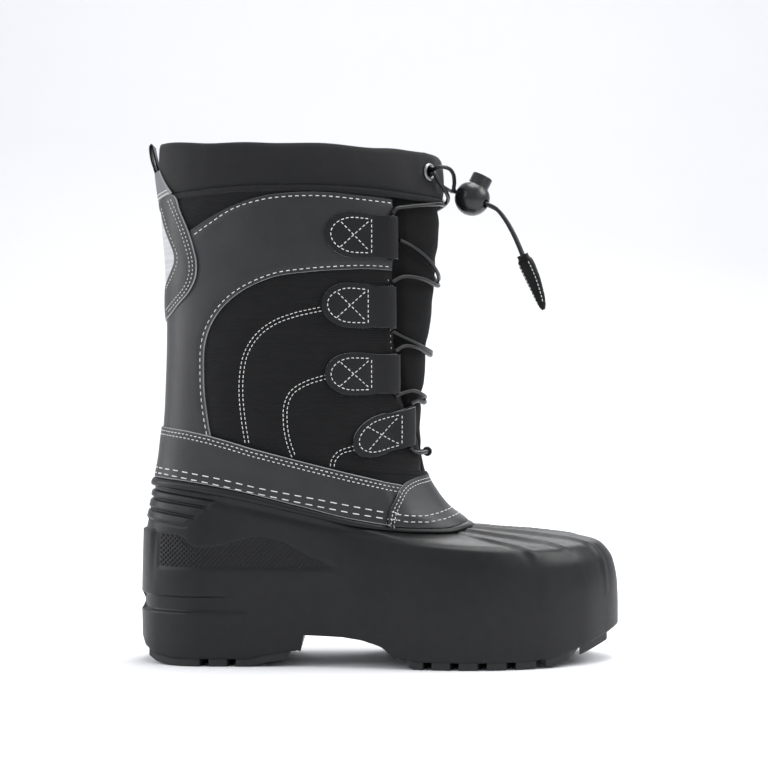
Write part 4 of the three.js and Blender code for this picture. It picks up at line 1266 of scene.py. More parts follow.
def make_welt():
    """The soft fold of cloth where the collar is sewn on."""
    turn = np.linspace(0, 2 * math.pi, 361)
    top = seam_at(form_point(280.0, turn)[:, 0], "z")
    grid = [form_point(top + up, turn, out)
            for out, up in ((0.5, -3.4), (1.3, -2.3), (1.6, -0.9), (1.4, 0.1), (0.4, 0.6), (-0.6, -0.8),
                            (0.5, -3.4))]
    keep(loft("collar_seam_welt", np.stack(grid)), "collar fabric", "woven_fabric")


def patch_loop(edge, count):
    """A closed (turn, z) outline round the back of the shaft from its outer half."""
    edge = np.asarray(edge, float)
    flat = np.stack([TURN_SCALE * turn_at(edge[:, 0], edge[:, 1]), edge[:, 1]], -1)
    flat[0, 0] = flat[-1, 0] = 0
    half = curve_through(flat, each=count // (len(edge) - 1))
    half[:, 0] = np.maximum(half[:, 0], 0)
    mirrored = half[::-1][1:] * (-1, 1)
    return np.vstack([half, mirrored]) / (TURN_SCALE, 1)


def make_patch():
    """The leather patch round the back of the shaft and the bare insert in its window."""
    outer, window = patch_loop(PATCH_EDGE, 110), patch_loop(WINDOW_EDGE, 110)
    share = np.linspace(0, 1, 15)[:, None]
    turn = outer[:, 0] * (1 - share) + window[:, 0] * share
    z = outer[:, 1] * (1 - share) + window[:, 1] * share
    out = 2.75 + 0.5 * np.sin(math.pi * share) + 0 * turn
    patch = leather_sheet("heel_patch_leather", turn, z, out, thick=1.4, edge=0.4)
    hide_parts("heel_patch")

    inset = window[: len(window) // 2 + 1]
    across = np.linspace(-1.12, 1.12, 31)
    turn = inset[:, 0:1] * across[None]
    z = np.broadcast_to(inset[:, 1:2], turn.shape)
    grid = form_point(z, turn, 1.9 + 0.4 * (1 - across**2)[None])
    insert = loft("patch_insert", grid, spread_of(turn, z), closed=False)
    thicken(insert, 0.8, edge=0.2)
    keep(insert, "pale insert", "leather")


def flap_point(rise, across, out=0.0):
    """The leather flap behind the collar, wide and sewn below, leaning out above."""
    turn = across * (0.49 - 0.25 * rise)
    z = 273.4 + 2.9 * across**2 + rise * (16.2 - 1.4 * across**2)
    return form_point(z, turn, 3.5 + 1.5 * rise * (1 - across**2) + out)


def make_pull():
    """The flap and the strap of the pull tab."""
    rise, across = np.meshgrid(np.linspace(0, 1, 25), np.linspace(-1, 1, 61), indexing="ij")
    cut_leather(loft("pull_flap_leather", flap_point(rise, across), closed=False), 1.2, 0.4,
                "flap leather")

    path = curve_through([(11.2, 279), (10.7, 288), (8.8, 297), (7.2, 304), (6.5, 307.4), (5.4, 306.2),
                          (5.9, 299), (8.0, 292), (9.6, 286), (9.9, 279)], 61)
    across = np.linspace(-1, 1, 13)[None]
    x, z = path[:, 0:1] + 0 * across, path[:, 1:2] + 0 * across
    strap = loft("pull_loop_strap", np.stack([x, 8.5 * across + 0 * x, z], -1), closed=False)
    modify(strap, "SOLIDIFY", thickness=0.0008, offset=0)
    bevel(strap, 0.2, segments=1)
    keep(strap, "loop leather", "leather", "pull_tab")


# ---- lace loops ----
# From the top down: x of the round end and of the fold, height of the middle and half the width,
# slope, and distance out from the form.
LOOPS = rows_of(columns(
    "round fold middle half slope lift",
    (110.6, 151.4, 250, 13.2, -0.05, 3.0), (108.8, 150.4, 209.6, 13, -0.04, 2.6),
    (110.6, 152.4, 170.2, 12.2, 0, 2.6), (126.4, 160.6, 135, 12, 0.3, 2.6),
))
# The lace's way through the fold: back from the fold's edge, out from the form, and its radius.
TUNNEL = {"back": 2.9, "lift": 3.35, "reach": 2.8}
# Length of a loop's round end for its half width.
ROUND_END = 1.25


def loop_place(row, x, height):
    """Height of a place on a loop, from -1 at its lower edge to 1 at its upper one."""
    middle = row["middle"] + row["slope"] * (x - (row["round"] + row["fold"]) / 2)
    return middle + height * row["half"]


def make_loop(row, side, label, number):
    """A leather strap: a round sewn end, a rise over the lace and a fold back under itself."""
    centre = row["fold"] - TUNNEL["back"]
    angle = np.linspace(80, -95, 15) * math.pi / 180
    turn_over = [(centre + TUNNEL["reach"] * math.cos(a),
                  TUNNEL["lift"] + TUNNEL["reach"] * math.sin(a)) for a in angle]
    rise = [(centre - d, row["lift"] + (6.0 - row["lift"]) * ease(11, 1.5, d))
            for d in (11, 9, 7.5, 6, 4.5, 3, 1.5)]
    curl = [(row["round"], row["lift"])]
    reach = row["half"] * ROUND_END
    curl += [(row["round"] + reach * (1 - math.cos(t)), row["lift"])
             for t in np.linspace(0.12, math.pi / 2, 13)]
    flat = np.linspace(row["round"] + reach + 1, centre - 11.6, 5)
    path = np.array([*curl, *[(x, row["lift"]) for x in flat], *rise, *turn_over,
                     (centre - 4, 0.45), (centre - 8, 0.4)])
    x = path[:, 0:1]
    step = np.arange(len(path))[:, None]
    across = np.linspace(-1, 1, 25)[None]
    d_shape = np.sqrt(np.clip(1 - ((row["round"] + reach - x) / reach) ** 2, 0, 1))
    width = np.where(x < row["round"] + reach, d_shape, 1)
    width = np.where(step > len(curl) + 2, 1 - 0.08 * ease(0, 4, step - len(curl) - 2), width)
    width = np.maximum(width, 0.03)
    z = loop_place(row, x, across * width)
    out = np.broadcast_to(path[:, 1:2], z.shape) + 0.12 * (1 - across**2)
    if number == 1:
        out = out + 0.25  # The top loop lies on the quarter leather.
    grid = on_form(np.broadcast_to(x, z.shape), z, side, out)
    strap = cut_leather(loft(f"lace_strap_{label}_{number}", grid, closed=False), 1.15, 0.55,
                        "loop leather")
    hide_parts(f"lace_loop_{label}_{number}")


def loop_rows(row, side):
    """The sewn outline and cross on a lace loop."""
    reach, start = row["half"] * ROUND_END, row["round"]
    arc = [(start + 3.4 + (reach - 2) * (1 - math.sin(t)), 0.77 * math.cos(t))
           for t in np.linspace(0.25, math.pi - 0.25, 9)]
    outline = [(start + 25.5, 0.74), *arc, (start + 25.5, -0.74)]
    lines = [outline, [(start + 26.2, 0.76), (start + 26.2, -0.76)],
             [(start + 8.2, 0.6), (start + 25, -0.66)], [(start + 8.2, -0.6), (start + 25, 0.66)]]
    rows = []
    for points in lines:
        places = np.array([(x, loop_place(row, x, h)) for x, h in points])
        rows.append(seam(places, side, row["lift"] + 0.32, pitch=2.9, dash=2.05, radius=0.27, fine=90))
    return rows


# ---- lace: x from the heel, z, side and distance out from the form ----
LACE = {
    "lace_cross_12": [
        [(152.9, 248, -1, 2.2), (160, 245, -1, 1.3), (169, 238.4, -1, 1.4), (175.4, 230.4, -1, 1.6),
         (175, 226.4, 1, 1.8), (166, 227.4, 1, 1.6), (155, 227, 1, 2.2), (148, 223.6, 1, 3.2)],
        [(148, 223.6, -1, 3.2), (155, 227, -1, 2.2), (166, 226.2, -1, 1.6), (175.4, 223, -1, 1.6),
         (175, 226.4, 1, 1.8), (168, 238.4, 1, 1.6), (160, 245, 1, 1.3), (152.9, 248, 1, 2.2)],
    ],
    "lace_cross_23": [
        [(148, 195.2, -1, 3.2), (153, 192.6, -1, 2.2), (162, 188.6, -1, 1.4), (171, 184, -1, 1.6),
         (170.6, 184, 1, 1.8), (163, 187, 1, 1.6), (155, 186.6, 1, 2.2), (149.8, 183.4, 1, 3.2)],
        [(149.8, 183.4, -1, 3.2), (155, 186.6, -1, 2.2), (163, 186, -1, 1.6), (171.2, 181.6, -1, 1.6),
         (170.6, 184, 1, 1.8), (162, 188.6, 1, 1.6), (153, 192.6, 1, 2.2), (148, 195.2, 1, 3.2)],
    ],
    "lace_cross_34": [
        [(149.8, 157, -1, 3.2), (155, 159.4, -1, 2.2), (161, 160.4, -1, 1.6), (167.4, 157.4, -1, 1.6),
         (166.8, 155.6, 1, 1.8), (163, 154.6, 1, 1.8), (158.4, 152.8, 1, 3.4)],
        [(158.4, 152.8, -1, 3.4), (163, 154.6, -1, 1.8), (167.4, 153.2, -1, 1.6),
         (166.8, 155.6, 1, 1.8), (161, 160.4, 1, 1.6), (155, 159.4, 1, 2.2), (149.8, 157, 1, 3.2)],
    ],
    "lace_bar_bottom": [
        [(157.6, 127, -1, 3.4), (160.4, 124.4, -1, 2.8), (165, 123.6, -1, 2.6), (168, 124, -1, 2.6),
         (168, 124, 1, 2.6), (165, 123.6, 1, 2.6), (160.4, 124.4, 1, 2.8), (157.6, 127, 1, 3.4)],
    ],
}
LACE_ENDS = {
    1: [(148.6, 262.6, -1, 3.2), (150.6, 266, -1, 3), (157, 267.6, -1, 1.8), (166, 269.2, -1, 1.7),
        (175, 270.8, -1, 2), (178.6, 272.4, 1, 3), (175.4, 277, 1, 4.8), (172, 283, 1, 5.4)],
    -1: [(148.6, 262.6, 1, 3.2), (150.6, 266, 1, 3), (157, 267.2, 1, 1.8), (168, 268.2, 1, 2),
         (178.6, 272.4, 1, 3), (178.4, 275.4, -1, 5), (175.8, 279.4, -1, 5.6), (172.4, 284, -1, 5.6)],
}
EYELET = {"x": 170, "z": 289, "hole": 3.2, "barrel": 3.9, "flange": 5.1, "depth": 4.2, "bead": 1.15}


def eyelet_frame(side):
    """Middle of an eyelet's face on the collar and the direction it looks in."""
    face = on_form(EYELET["x"], EYELET["z"], side, 1.8 + GAP)
    normal = on_form(EYELET["x"], EYELET["z"], side, 1) - on_form(EYELET["x"], EYELET["z"], side, 0)
    return face, normal / np.linalg.norm(normal)


def eyelet_place(side, out, above):
    """A place of the cord in an eyelet, above (1) or below (-1) the other cord."""
    face, normal = eyelet_frame(side)
    return face + normal * out + np.array([0, 0, above * (CORD / 2 + GAP / 2)])


CORD_STEP = 0.7


def cord_tubes(name, lines, sides=12):
    """Braided cord along lines, with the run and turn of the braid as an attribute."""
    counts = [max(int(lengths(line)[-1] / CORD_STEP), 8) for line in lines]
    obj = tubes(name, [even(*pair) for pair in zip(lines, counts)], CORD / 2, sides, taper=False)
    braid = []
    for line, count in zip(lines, counts):
        run = np.linspace(0, lengths(line)[-1], count)
        angle = np.linspace(0, 2 * math.pi, sides, endpoint=False) * 3
        run, angle = np.meshgrid(run, angle, indexing="ij")
        braid.append(np.stack([run, np.cos(angle), np.sin(angle)], -1).reshape(-1, 3))
    attribute = obj.data.attributes.new("braid", "FLOAT_VECTOR", "POINT")
    attribute.data.foreach_set("vector", np.vstack(braid).ravel())
    return obj


def make_lace():
    """The lace over the tongue, its ends in the eyelets, its runs in the loops, and the keeper."""
    for name, strands in LACE.items():
        lines = [curve_through([on_form(*place) for place in strand]) for strand in strands]
        keep(cord_tubes(name + "_cord", lines), "elastic cord", "elastic_cord", name)
    lines = [
        curve_through([*[on_form(*place) for place in places],
                       eyelet_place(side, 3.2, -0.9), eyelet_place(side, -1.4, -0.9)])
        for side, places in LACE_ENDS.items()
    ]
    keep(cord_tubes("lace_top_cord", lines), "elastic cord", "elastic_cord", "lace_cross_top")
    inside = []
    for row in LOOPS:
        x = row["fold"] - TUNNEL["back"]
        for side, _ in SIDES:
            inside.append(np.array([on_form(x, loop_place(row, x, t), side, TUNNEL["lift"])
                                    for t in np.linspace(-0.99, 0.99, 16)]))
    keep(cord_tubes("lace_in_loops", inside), "elastic cord", "elastic_cord")
    place = form_point(124, math.pi, 2.6)
    profile = [(1.25, -4), (2.3, -4.1), (2.8, -3.6), (2.8, 3.6), (2.3, 4.1), (1.25, 4), (1.25, -4)]
    axes = ((1, 0, 0), (0, 0, 1), (0, 1, 0))
    keep(lathe("lace_keeper_tube", profile, place, axes, 24), "loop leather", "loop_leather",
         "lace_keeper")


def make_eyelets():
    for side, label in SIDES:
        face, normal = eyelet_frame(side)
        across = np.cross((0, 0, 1), normal)
        across /= np.linalg.norm(across)
        hole, barrel, flange = EYELET["hole"], EYELET["barrel"], EYELET["flange"]
        depth, bead = EYELET["depth"], EYELET["bead"]
        profile = [(hole, -depth), (barrel, -depth), (barrel, -0.3), (flange, -0.3), (flange + 0.1, 0.1)]
        profile += [((hole + flange) / 2 + bead * math.cos(a), 0.1 + bead * math.sin(a))
                    for a in np.linspace(0.1, math.pi - 0.1, 9)]
        profile += [(hole, 0), (hole, -depth)]
        ring = lathe(f"eyelet_ring_{label}", profile, face, (across, np.cross(normal, across), normal))
        keep(ring, "eyelet metal", "eyelet_metal", f"eyelet_{label}")


# ---- cord lock and drawcord ----
# The ball with its cord hole's half width and height, and the button with its slide.
TOGGLE = {"place": (197.8, -4, 275.5), "radius": 10.5, "wide": 3.5, "tall": 2.2}
BUTTON = {"radius": 6.25, "top": 15, "bottom": -3.6, "travel": 3, "play": 0.35}


def unit(vector):
    return np.asarray(vector, float) / np.linalg.norm(vector)


# Axes of the lock: along its cord hole, along its button, and across both.
ALONG = unit((0.82, -0.42, -0.38))
PRESS_UP = np.array([0.5, 0, 0.866])
PRESS_UP = unit(PRESS_UP - ALONG * PRESS_UP.dot(ALONG))
ACROSS = np.cross(PRESS_UP, ALONG)
TAIL = [(212.6, -8.8, 268.2), (217.8, -8, 261.8), (222.2, -7, 254.2), (226.2, -6, 245.6)]
TAIL_END = np.array([228.6, -5.6, 239.6])
TAB_DOWN = unit((0.359, 0, -0.934))
# Each cord's way from its eyelet to the lock.
LEAD = {
    "outer": [(177, -31.5, 291.2), (182.6, -25.5, 291.2), (186, -16, 288.8), (187, -7.5, 284.8)],
    "inner": [(178.6, 31, 288), (184.6, 25, 283.6), (186.6, 17, 281.6), (185.6, 10.5, 281.6)],
}


def drawcord_line(label, side):
    """One cord's way from its eyelet through the lock and down into the end tab."""
    spread = ACROSS * side * (CORD / 2 + GAP)
    start = [eyelet_place(side, out, 1) for out in (-1.4, 2.6)]
    through = [np.array(TOGGLE["place"]) + ALONG * distance + spread for distance in (-12, -6, 6, 12)]
    tail = [np.array(place) + spread for place in TAIL]
    end = TAIL_END + spread - TAB_DOWN * 0.8
    return curve_through([*start, *LEAD[label], *through, *tail, end])


def make_toggle():
    """The ball of the cord lock with its flared cord hole, and the button with its slot."""
    axes = (ALONG, ACROSS, PRESS_UP)
    place = np.array(TOGGLE["place"])
    radius, pocket = TOGGLE["radius"], BUTTON["radius"] + BUTTON["play"]
    lip = math.asin(pocket / radius)
    profile = [(0, -radius)]
    profile += [(radius * math.sin(a), -radius * math.cos(a))
                for a in np.linspace(0.06, math.pi - lip - 0.05, 40)]
    low = BUTTON["bottom"] - BUTTON["travel"] - 0.4
    top = math.sqrt(radius**2 - pocket**2)
    profile += [(pocket + 0.1, top - 0.1), (pocket, top - 0.5), (pocket, low), (0, low), (0, -radius)]
    ball = lathe("cord_lock_ball", profile, place, axes, 64)
    reach = np.array([-14, -10.6, -9.8, -9, -8, 8, 9, 9.8, 10.6, 14])[:, None, None]
    flare = np.array([1.5, 1.5, 1.18, 1.04, 1, 1, 1.04, 1.18, 1.5, 1.5])[:, None, None]
    angle = np.linspace(0, 2 * math.pi, 41)[None, :, None]
    rings = place + reach * ALONG + flare * (TOGGLE["wide"] * np.cos(angle) * ACROSS
                                             + TOGGLE["tall"] * np.sin(angle) * PRESS_UP)
    ends = [np.broadcast_to(place + ALONG * d, (1, 41, 3)) for d in (-14, 14)]
    cutter = loft("cord_hole", np.concatenate([ends[0], rings, ends[1]]))
    cut(ball, cutter)
    keep(ball, "lock plastic", "lock_plastic", "toggle_body")

    r, top, bottom = BUTTON["radius"], BUTTON["top"], BUTTON["bottom"]
    profile = [(0, bottom), (r - 0.3, bottom), (r, bottom + 0.4), (r, top - 0.9), (r - 0.25, top - 0.3),
               (r - 0.9, top), (r - 2.2, top - 0.15), (r - 2.8, top - 0.5), (0, top - 0.5), (0, bottom)]
    button = lathe("cord_lock_button", profile, place, axes, 64)
    high = TOGGLE["tall"] + BUTTON["travel"]
    wide, tall = TOGGLE["wide"], TOGGLE["tall"]
    slot = np.array([(x, y, z) for x in (-20, 20) for y in (-wide, wide) for z in (-tall, high)])
    corners = place + slot[:, 0:1] * ALONG + slot[:, 1:2] * ACROSS + slot[:, 2:3] * PRESS_UP
    faces = [(0, 1, 3, 2), (4, 6, 7, 5), (0, 4, 5, 1), (2, 3, 7, 6), (0, 2, 6, 4), (1, 5, 7, 3)]
    cut(button, mesh_from("button_slot", corners, faces))
    keep(button, "lock plastic", "lock_plastic", "toggle_button", body="lock_button")


def cut(obj, cutter):
    """Takes one shape out of another."""
    modify(obj, "BOOLEAN", operation="DIFFERENCE", object=cutter, solver="EXACT")
    bpy.data.objects.remove(cutter, do_unlink=True)
    smooth_by_angle(obj, 35)


TAB_LENGTH = 33
TAB_WIDTH = columns("run half", (0, 4.2), (1.5, 5.4), (5, 6), (14, 5.6), (26, 4), (31, 2.4),
                   (TAB_LENGTH, 0.8))
TAB_THICK = columns("run half", (0, 1.5), (2, 1.9), (6, 1.75), (14, 1.5), (TAB_LENGTH, 0.9))
# The tab hangs turned a little about its own length.
TAB_TURN = 0.32


def tab_size(table, run):
    """Half the tab's width or thickness along it."""
    return np.interp(run, table["run"], table["half"])


def tab_bow(run):
    """How far the hanging tab bends out of its straight line."""
    return 0.9 * np.sin(math.pi * run / TAB_LENGTH)


def tab_axes():
    """Directions across the tab's width and through its thickness."""
    tip = Vector((0, -1, 0)).rotation_difference(Vector(TAB_DOWN))
    angle = math.pi / 2 + TAB_TURN
    wide = np.array(tip @ Vector((math.cos(angle), 0, -math.sin(angle))))
    return wide, np.cross(TAB_DOWN, wide)


def make_tab():
    """A strip of leather folded over the cord ends and sewn, with a worn round end."""
    wide, deep = tab_axes()
    run = np.linspace(-2.2, TAB_LENGTH, 48)[:, None]
    half, thick = tab_size(TAB_WIDTH, run), tab_size(TAB_THICK, run)
    angle = np.linspace(0, 2 * math.pi, 49)[None]
    flat = np.sign(np.cos(angle)) * np.abs(np.cos(angle)) ** 0.6
    round_ = np.sign(np.sin(angle)) * np.abs(np.sin(angle)) ** 0.55
    pucker = 0.12 * np.sin(run * 2.1 + 3 * np.sin(angle)) * (np.abs(flat) > 0.7)
    points = (TAIL_END + run[..., None] * TAB_DOWN + (half * flat)[..., None] * wide
              + ((thick + pucker) * round_ + tab_bow(run))[..., None] * deep)
    caps = [np.broadcast_to(points[k].mean(axis=0), (1, 49, 3)) for k in (0, -1)]
    tab = loft("cord_tab_leather", np.concatenate([caps[0], points, caps[1]]))
    keep(tab, "loop leather", "loop_leather", "cord_tab")
    rows = []
    at = np.linspace(2, 29, 60)[:, None]
    for face in (-1, 1):
        for share in (-0.72, 0.72):
            out = tab_size(TAB_THICK, at) * face * 0.93
            line = (TAIL_END + at * TAB_DOWN + tab_size(TAB_WIDTH, at) * share * wide
                    + (out + tab_bow(at)) * deep)
            rows.append((line + 0.15 * face * deep, line - 0.35 * face * deep, 2.4, 1.7, 0.28))
    stitches("cord_tab_stitches", rows)


def make_drawcords():
    for side, label in SIDES:
        line = drawcord_line(label, side)
        cord = cord_tubes(f"drawcord_{label}_cord", [line])
        keep(cord, "elastic cord", "elastic_cord", f"drawcord_{label}")


# ---- all the sewing ----
# Two long rows along the lower edge of the rand.
ROW_A = columns("x z", (-5, 115.8), (12.3, 115), (24.8, 113.6), (45.9, 110), (58.7, 107.2),
                (72.6, 104), (107.8, 97.2), (144.5, 89.6), (158, 87.4), (168, 87), (176, 88.2),
                (184.4, 90.6), (200, 92.5))
ROW_B = columns("x z", (-5, 113), (16, 111.5), (41, 107.2), (59.2, 103.4), (79, 99.3),
                (102.3, 94.4), (127.1, 89.2), (144.6, 86), (158, 83.9), (170, 83.4), (180, 84.8),
                (189.2, 87.6), (205, 89))


def make_sewing():
    """All rows of stitches on the upper, the loops and the flap."""
    def table_row(table, shift=0.0):
        return lambda x: np.interp(x, table["x"], table["z"]) + shift

    straps = [f"lace_strap_{label}_{k}" for label in ("outer", "inner") for k in (1, 2, 3, 4)]
    panels = ["upper_fabric", "quarter_leather_outer", "quarter_leather_inner", "rand_leather",
              "saddle_leather", "heel_patch_leather"]
    tree, strap_tree = surface_of(panels), surface_of(straps)

    rows = [round_seam(table_row(table), end=2.16, out=2.2, pitch=7.0, dash=4.7, radius=0.33)
            for table in (ROW_A, ROW_B)]
    rows += [round_seam(table_row(RAND_TOP, -shift), end=2.42, out=2.6, pitch=3.0, dash=1.95,
                        radius=0.26) for shift in (2.2, 4.4)]
    rows += [round_seam(table_row(table), end=2 * math.pi - 2.2, out=3.6, pitch=4.6, dash=3.2,
                        radius=0.3, start=2.2) for table in (ROW_A, ROW_B)]
    stitches("rand_stitches", [settle(row, tree) for row in rows])

    for side, label in SIDES:
        rows = [seam([(35, 251.4), (44.8, 257.8), *BAND_TOP[3:]], side, 1.75, 3.9, 2.6, 0.27,
                     offset=-0.2),
                seam(ARC_1, side, 1.75, 3.9, 2.6, 0.27)]
        for arc in (ARC_2, ARC_3, ARC_4):
            rows += [seam(arc, side, 0.45, 2.7, 2.0, 0.26, offset=shift) for shift in (-1.1, 1.1)]
        rows.append(seam([(147.2, 226), (148.6, 195.9), (149, 184.2), (153.6, 156.2)], side, 1.3, 3.6,
                         1.4, 0.18))
        saddle = [(148.1, 80.4), (148.2, 84), (148.8, 88.6), (152.2, 96.8), (156.4, 103.2),
                  (163, 106.8), (173.4, 109)]
        rows += [seam(saddle, side, 3.6, 2.5, 1.7, 0.25, offset=shift) for shift in (0, -1.9)]
        rows += [seam([(147.4, 85.8), (153.4, 84.9)], side, 3.6, 1.6, 1.3, 0.28, fine=30),
                 seam([(147.6, 90.2), (153, 88.6)], side, 3.6, 1.6, 1.3, 0.28, fine=30)]
        edge = [(20.8, 273), (24.2, 265), (28.8, 253.6), (32.4, 242.4), (34, 234.4), (33.4, 227),
                (30, 219.6), (24.6, 213.6), (19, 207.8)]
        rows += [seam(edge, side, 3.2, 2.5, 1.5, 0.24, offset=shift) for shift in (-0.7, 1.1)]
        inner = [(16, 268.8), (18, 262), (20, 255.6), (23, 248), (25.6, 241.4), (26, 236),
                 (24, 230.6), (21.4, 225.6), (18.6, 221)]
        rows.append(seam(inner, side, 3.3, 2.6, 1.7, 0.24))
        stitches(f"upper_stitches_{label}", [settle(row, tree) for row in rows])
        rows = []
        for row in LOOPS:
            rows += loop_rows(row, side)
        stitches(f"loop_stitches_{label}", [settle(row, strap_tree) for row in rows])
    rows = []
    for rise in (0.04, 0.16):
        upper = flap_point(np.full(90, rise), np.linspace(-0.96, 0.96, 90), 0.1)
        lower = flap_point(np.full(90, rise), np.linspace(-0.96, 0.96, 90), -0.5)
        rows.append((upper, lower, 2.4, 2.1, 0.28))
    stitches("flap_stitches", rows)


# ---- floor, light and camera, in metres in the shared frame ----
CAMERA = {"across": 0.00175, "away": 1.150, "high": 0.1644, "view": 0.4608, "sensor": 36}
# Lamps: name, place, share of the main power, and width.
LAMPS = (
    ("key", (-1.3, -0.8, 1.0), 0.9, 0.9), ("fill", (1.2, -0.9, 0.8), 0.25, 1.0),
    ("top", (0.2, 0.1, 1.5), 2.0, 0.9), ("back", (0.3, 1.2, 1.2), 1.2, 1.0),
    ("heel", (-1.2, 0.1, 0.45), 0.65, 0.6), ("toe", (1.1, -0.1, 1.0), 1.25, 0.7),
)
SKY = {"colour": (0.9, 0.93, 1.0, 1), "strength": 0.7}


def make_lamp(name, place, watts, size, aim=(0, 0, 0.15)):
    data = bpy.data.lights.new(name, "AREA")
    data.energy, data.size = watts, size
    lamp = bpy.data.objects.new(name, data)
    lamp.location = place
    lamp.rotation_euler = (Vector(aim) - Vector(place)).to_track_quat("-Z", "Y").to_euler()
    bpy.context.collection.objects.link(lamp)


def make_stage(light):
    camera = bpy.data.objects.new("camera", bpy.data.cameras.new("camera"))
    camera.location = (CAMERA["across"], -CAMERA["away"], CAMERA["high"])
    camera.rotation_euler = (math.pi / 2, 0, 0)
    camera.data.sensor_width = CAMERA["sensor"]
    camera.data.lens = CAMERA["sensor"] / (CAMERA["view"] / CAMERA["away"])
    bpy.context.collection.objects.link(camera)
    bpy.context.scene.camera = camera

    arc = [(1.2 + 0.8 * math.sin(a), 0.8 - 0.8 * math.cos(a)) for a in np.linspace(0, math.pi / 2, 17)]
    line = np.array([(-2.5, 0), (0.6, 0), *arc, (2, 3)])
    grid = np.stack([np.stack([np.full(len(line), x), *line.T], -1) for x in (-3, 0, 3)]) * 1000 - SHIFT
    floor = loft("pale_floor", grid, closed=False)
    floor.data.materials.append(bpy.data.materials["pale floor"])

    for name, place, share, size in LAMPS:
        make_lamp(name, place, light * share, size)
    world = bpy.data.worlds.new("studio")
    world.use_nodes = True
    sky = world.node_tree.nodes["Background"].inputs
    sky["Color"].default_value = SKY["colour"]
    sky["Strength"].default_value = SKY["strength"]
    bpy.context.scene.world = world
    bpy.context.scene.view_settings.view_transform = "Standard"


# ---- the add-on ----
def colour_property(name, text, default):
    return FloatVectorProperty(name=name, description=text, default=default, size=3, min=0, max=1,
                               subtype="COLOR")


class SnowBootSizes(bpy.types.PropertyGroup):
    """Sizes that can be changed before the pieces are made."""

    quilt: FloatProperty(
        name="Padding", description="How far the fabric swells between its sewn lines",
        default=0.0012, min=0, max=0.003, unit="LENGTH", subtype="DISTANCE", precision=4,
    )
    light: FloatProperty(name="Light", description="Power of the main lamp", default=8.0, min=1, max=200,
                         subtype="POWER")


class SnowBootColours(bpy.types.PropertyGroup):
    """Colours of the finishes."""

    rubber: colour_property("Rubber", "Moulded shell and outsole", (0.0072, 0.0073, 0.0076))
    leather: colour_property("Leather", "Panels of the upper", (0.013, 0.013, 0.0134))
    loop_leather: colour_property("Loop leather", "Lace loops and pull strap", (0.0032, 0.0032, 0.0034))
    fabric: colour_property("Fabric", "Ribbed cloth of the upper", (0.0045, 0.0045, 0.0048))
    lining: colour_property("Lining", "Fleece inside the shaft", (0.025, 0.025, 0.026))
    cord: colour_property("Cord", "Lace and drawcord", (0.007, 0.007, 0.0074))
    thread: colour_property("Thread", "Sewing", (0.6, 0.6, 0.58))
    plastic: colour_property("Lock plastic", "Cord lock", (0.008, 0.008, 0.0085))


class MakeFinishes(bpy.types.Operator):
    """Make the materials of the boot"""

    bl_idname = "snow_boot.finishes"
    bl_label = "Finishes"

    def execute(self, context):
        make_finishes(context.scene.snow_boot_colours)
        return {"FINISHED"}


class MakeStage(bpy.types.Operator):
    """Make the floor, the lamps and the camera"""

    bl_idname = "snow_boot.stage"
    bl_label = "Floor, light and camera"

    def execute(self, context):
        make_stage(context.scene.snow_boot_sizes.light)
        return {"FINISHED"}


class MakeCordLock(bpy.types.Operator):
    """Make the ball, the button and the leather tab on the drawcord"""

    bl_idname = "snow_boot.cord_lock"
    bl_label = "Cord lock and tab"

    def execute(self, context):
        make_toggle()
        make_tab()
        return {"FINISHED"}


class MakeDrawcords(bpy.types.Operator):
    """Make both runs of the drawcord"""

    bl_idname = "snow_boot.drawcords"
    bl_label = "Drawcord"

    def execute(self, context):
        make_drawcords()
        return {"FINISHED"}


class MakeShell(bpy.types.Operator):
    """Make the rubber shell with its ribs, bead and toe ridges"""

    bl_idname = "snow_boot.shell"
    bl_label = "Rubber shell"

    def execute(self, context):
        make_shell()
        return {"FINISHED"}


class MakeOutsole(bpy.types.Operator):
    """Make the lugs under the sole and the texture beside the heel"""

    bl_idname = "snow_boot.outsole"
    bl_label = "Outsole lugs and heel texture"

    def execute(self, context):
        make_lugs()
        make_texture_bars()
        return {"FINISHED"}


class MakeInsole(bpy.types.Operator):
    """Make the felt insole"""

    bl_idname = "snow_boot.insole"
    bl_label = "Insole"

    def execute(self, context):
        make_insole()
        return {"FINISHED"}


class MakeUpper(bpy.types.Operator):
    """Make the padded fabric upper, the collar and the tongue"""

    bl_idname = "snow_boot.upper"
    bl_label = "Upper, collar and tongue"

    def execute(self, context):
        make_upper()
        make_collar()
        make_tongue()
        return {"FINISHED"}


class MakeLeather(bpy.types.Operator):
    """Make the leather panels, the heel patch, the flap and the pull strap"""

    bl_idname = "snow_boot.leather"
    bl_label = "Leather panels"

    def execute(self, context):
        make_quarters()
        make_rand()
        make_saddle()
        make_welt()
        make_patch()
        make_pull()
        return {"FINISHED"}


class MakeLoops(bpy.types.Operator):
    """Make the four lace loops on each side"""

    bl_idname = "snow_boot.loops"
    bl_label = "Lace loops"

    def execute(self, context):
        for side, label in SIDES:
            for number, row in enumerate(LOOPS, 1):
                make_loop(row, side, label, number)
        return {"FINISHED"}


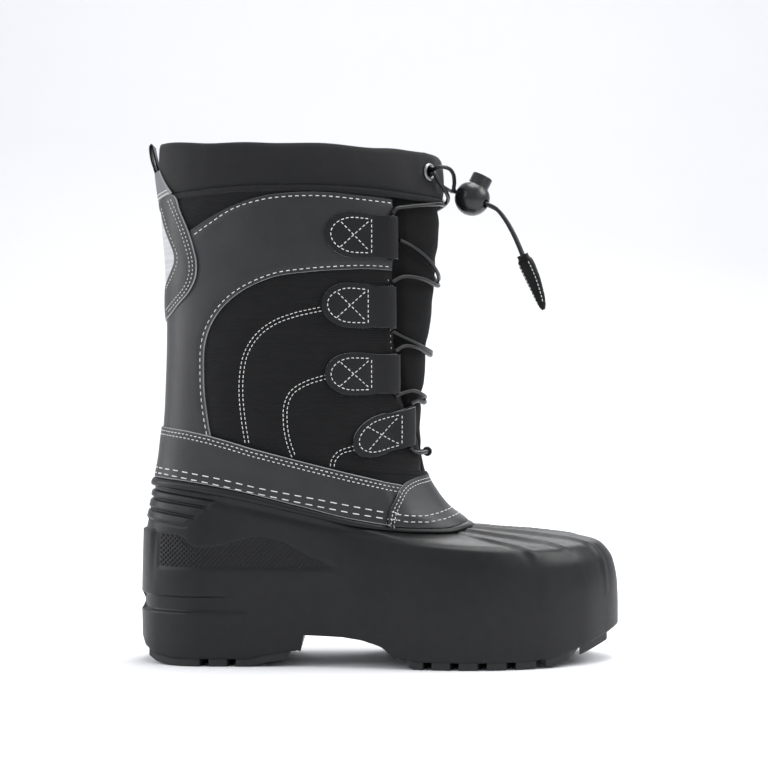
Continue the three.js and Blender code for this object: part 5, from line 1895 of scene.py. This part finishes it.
class MakeLace(bpy.types.Operator):
    """Make the lace, its keeper and the top eyelets"""

    bl_idname = "snow_boot.lace"
    bl_label = "Lace and eyelets"

    def execute(self, context):
        make_lace()
        make_eyelets()
        return {"FINISHED"}


class MakeSewing(bpy.types.Operator):
    """Make the rows of stitches"""

    bl_idname = "snow_boot.sewing"
    bl_label = "Sewing"

    def execute(self, context):
        make_sewing()
        return {"FINISHED"}


PIECES = (MakeFinishes, MakeStage, MakeCordLock, MakeDrawcords, MakeShell, MakeOutsole, MakeInsole,
          MakeUpper, MakeLeather, MakeLoops, MakeLace, MakeSewing)


class SnowBootPanel(bpy.types.Panel):
    """Sizes, colours and makers of the snow boot"""

    bl_idname = "VIEW3D_PT_snow_boot"
    bl_label = "Snow boot"
    bl_space_type = "VIEW_3D"
    bl_region_type = "UI"
    bl_category = "Boot"

    def draw(self, context):
        for group in (context.scene.snow_boot_sizes, context.scene.snow_boot_colours):
            for name in group.__annotations__:
                self.layout.prop(group, name)
        for piece in PIECES:
            self.layout.operator(piece.bl_idname)


def register():
    for cls in (SnowBootSizes, SnowBootColours, *PIECES, SnowBootPanel):
        bpy.utils.register_class(cls)
    bpy.types.Scene.snow_boot_sizes = PointerProperty(type=SnowBootSizes)
    bpy.types.Scene.snow_boot_colours = PointerProperty(type=SnowBootColours)


def unregister():
    del bpy.types.Scene.snow_boot_colours
    del bpy.types.Scene.snow_boot_sizes
    for cls in (SnowBootPanel, *reversed(PIECES), SnowBootColours, SnowBootSizes):
        bpy.utils.unregister_class(cls)


def main():
    register()
    bpy.ops.snow_boot.finishes()
    bpy.ops.snow_boot.stage()
    bpy.ops.snow_boot.cord_lock()
    bpy.ops.snow_boot.drawcords()
    bpy.ops.snow_boot.shell()
    bpy.ops.snow_boot.outsole()
    bpy.ops.snow_boot.insole()
    bpy.ops.snow_boot.upper()
    bpy.ops.snow_boot.leather()
    bpy.ops.snow_boot.loops()
    bpy.ops.snow_boot.lace()
    bpy.ops.snow_boot.sewing()


if __name__ == "__main__":
    main()
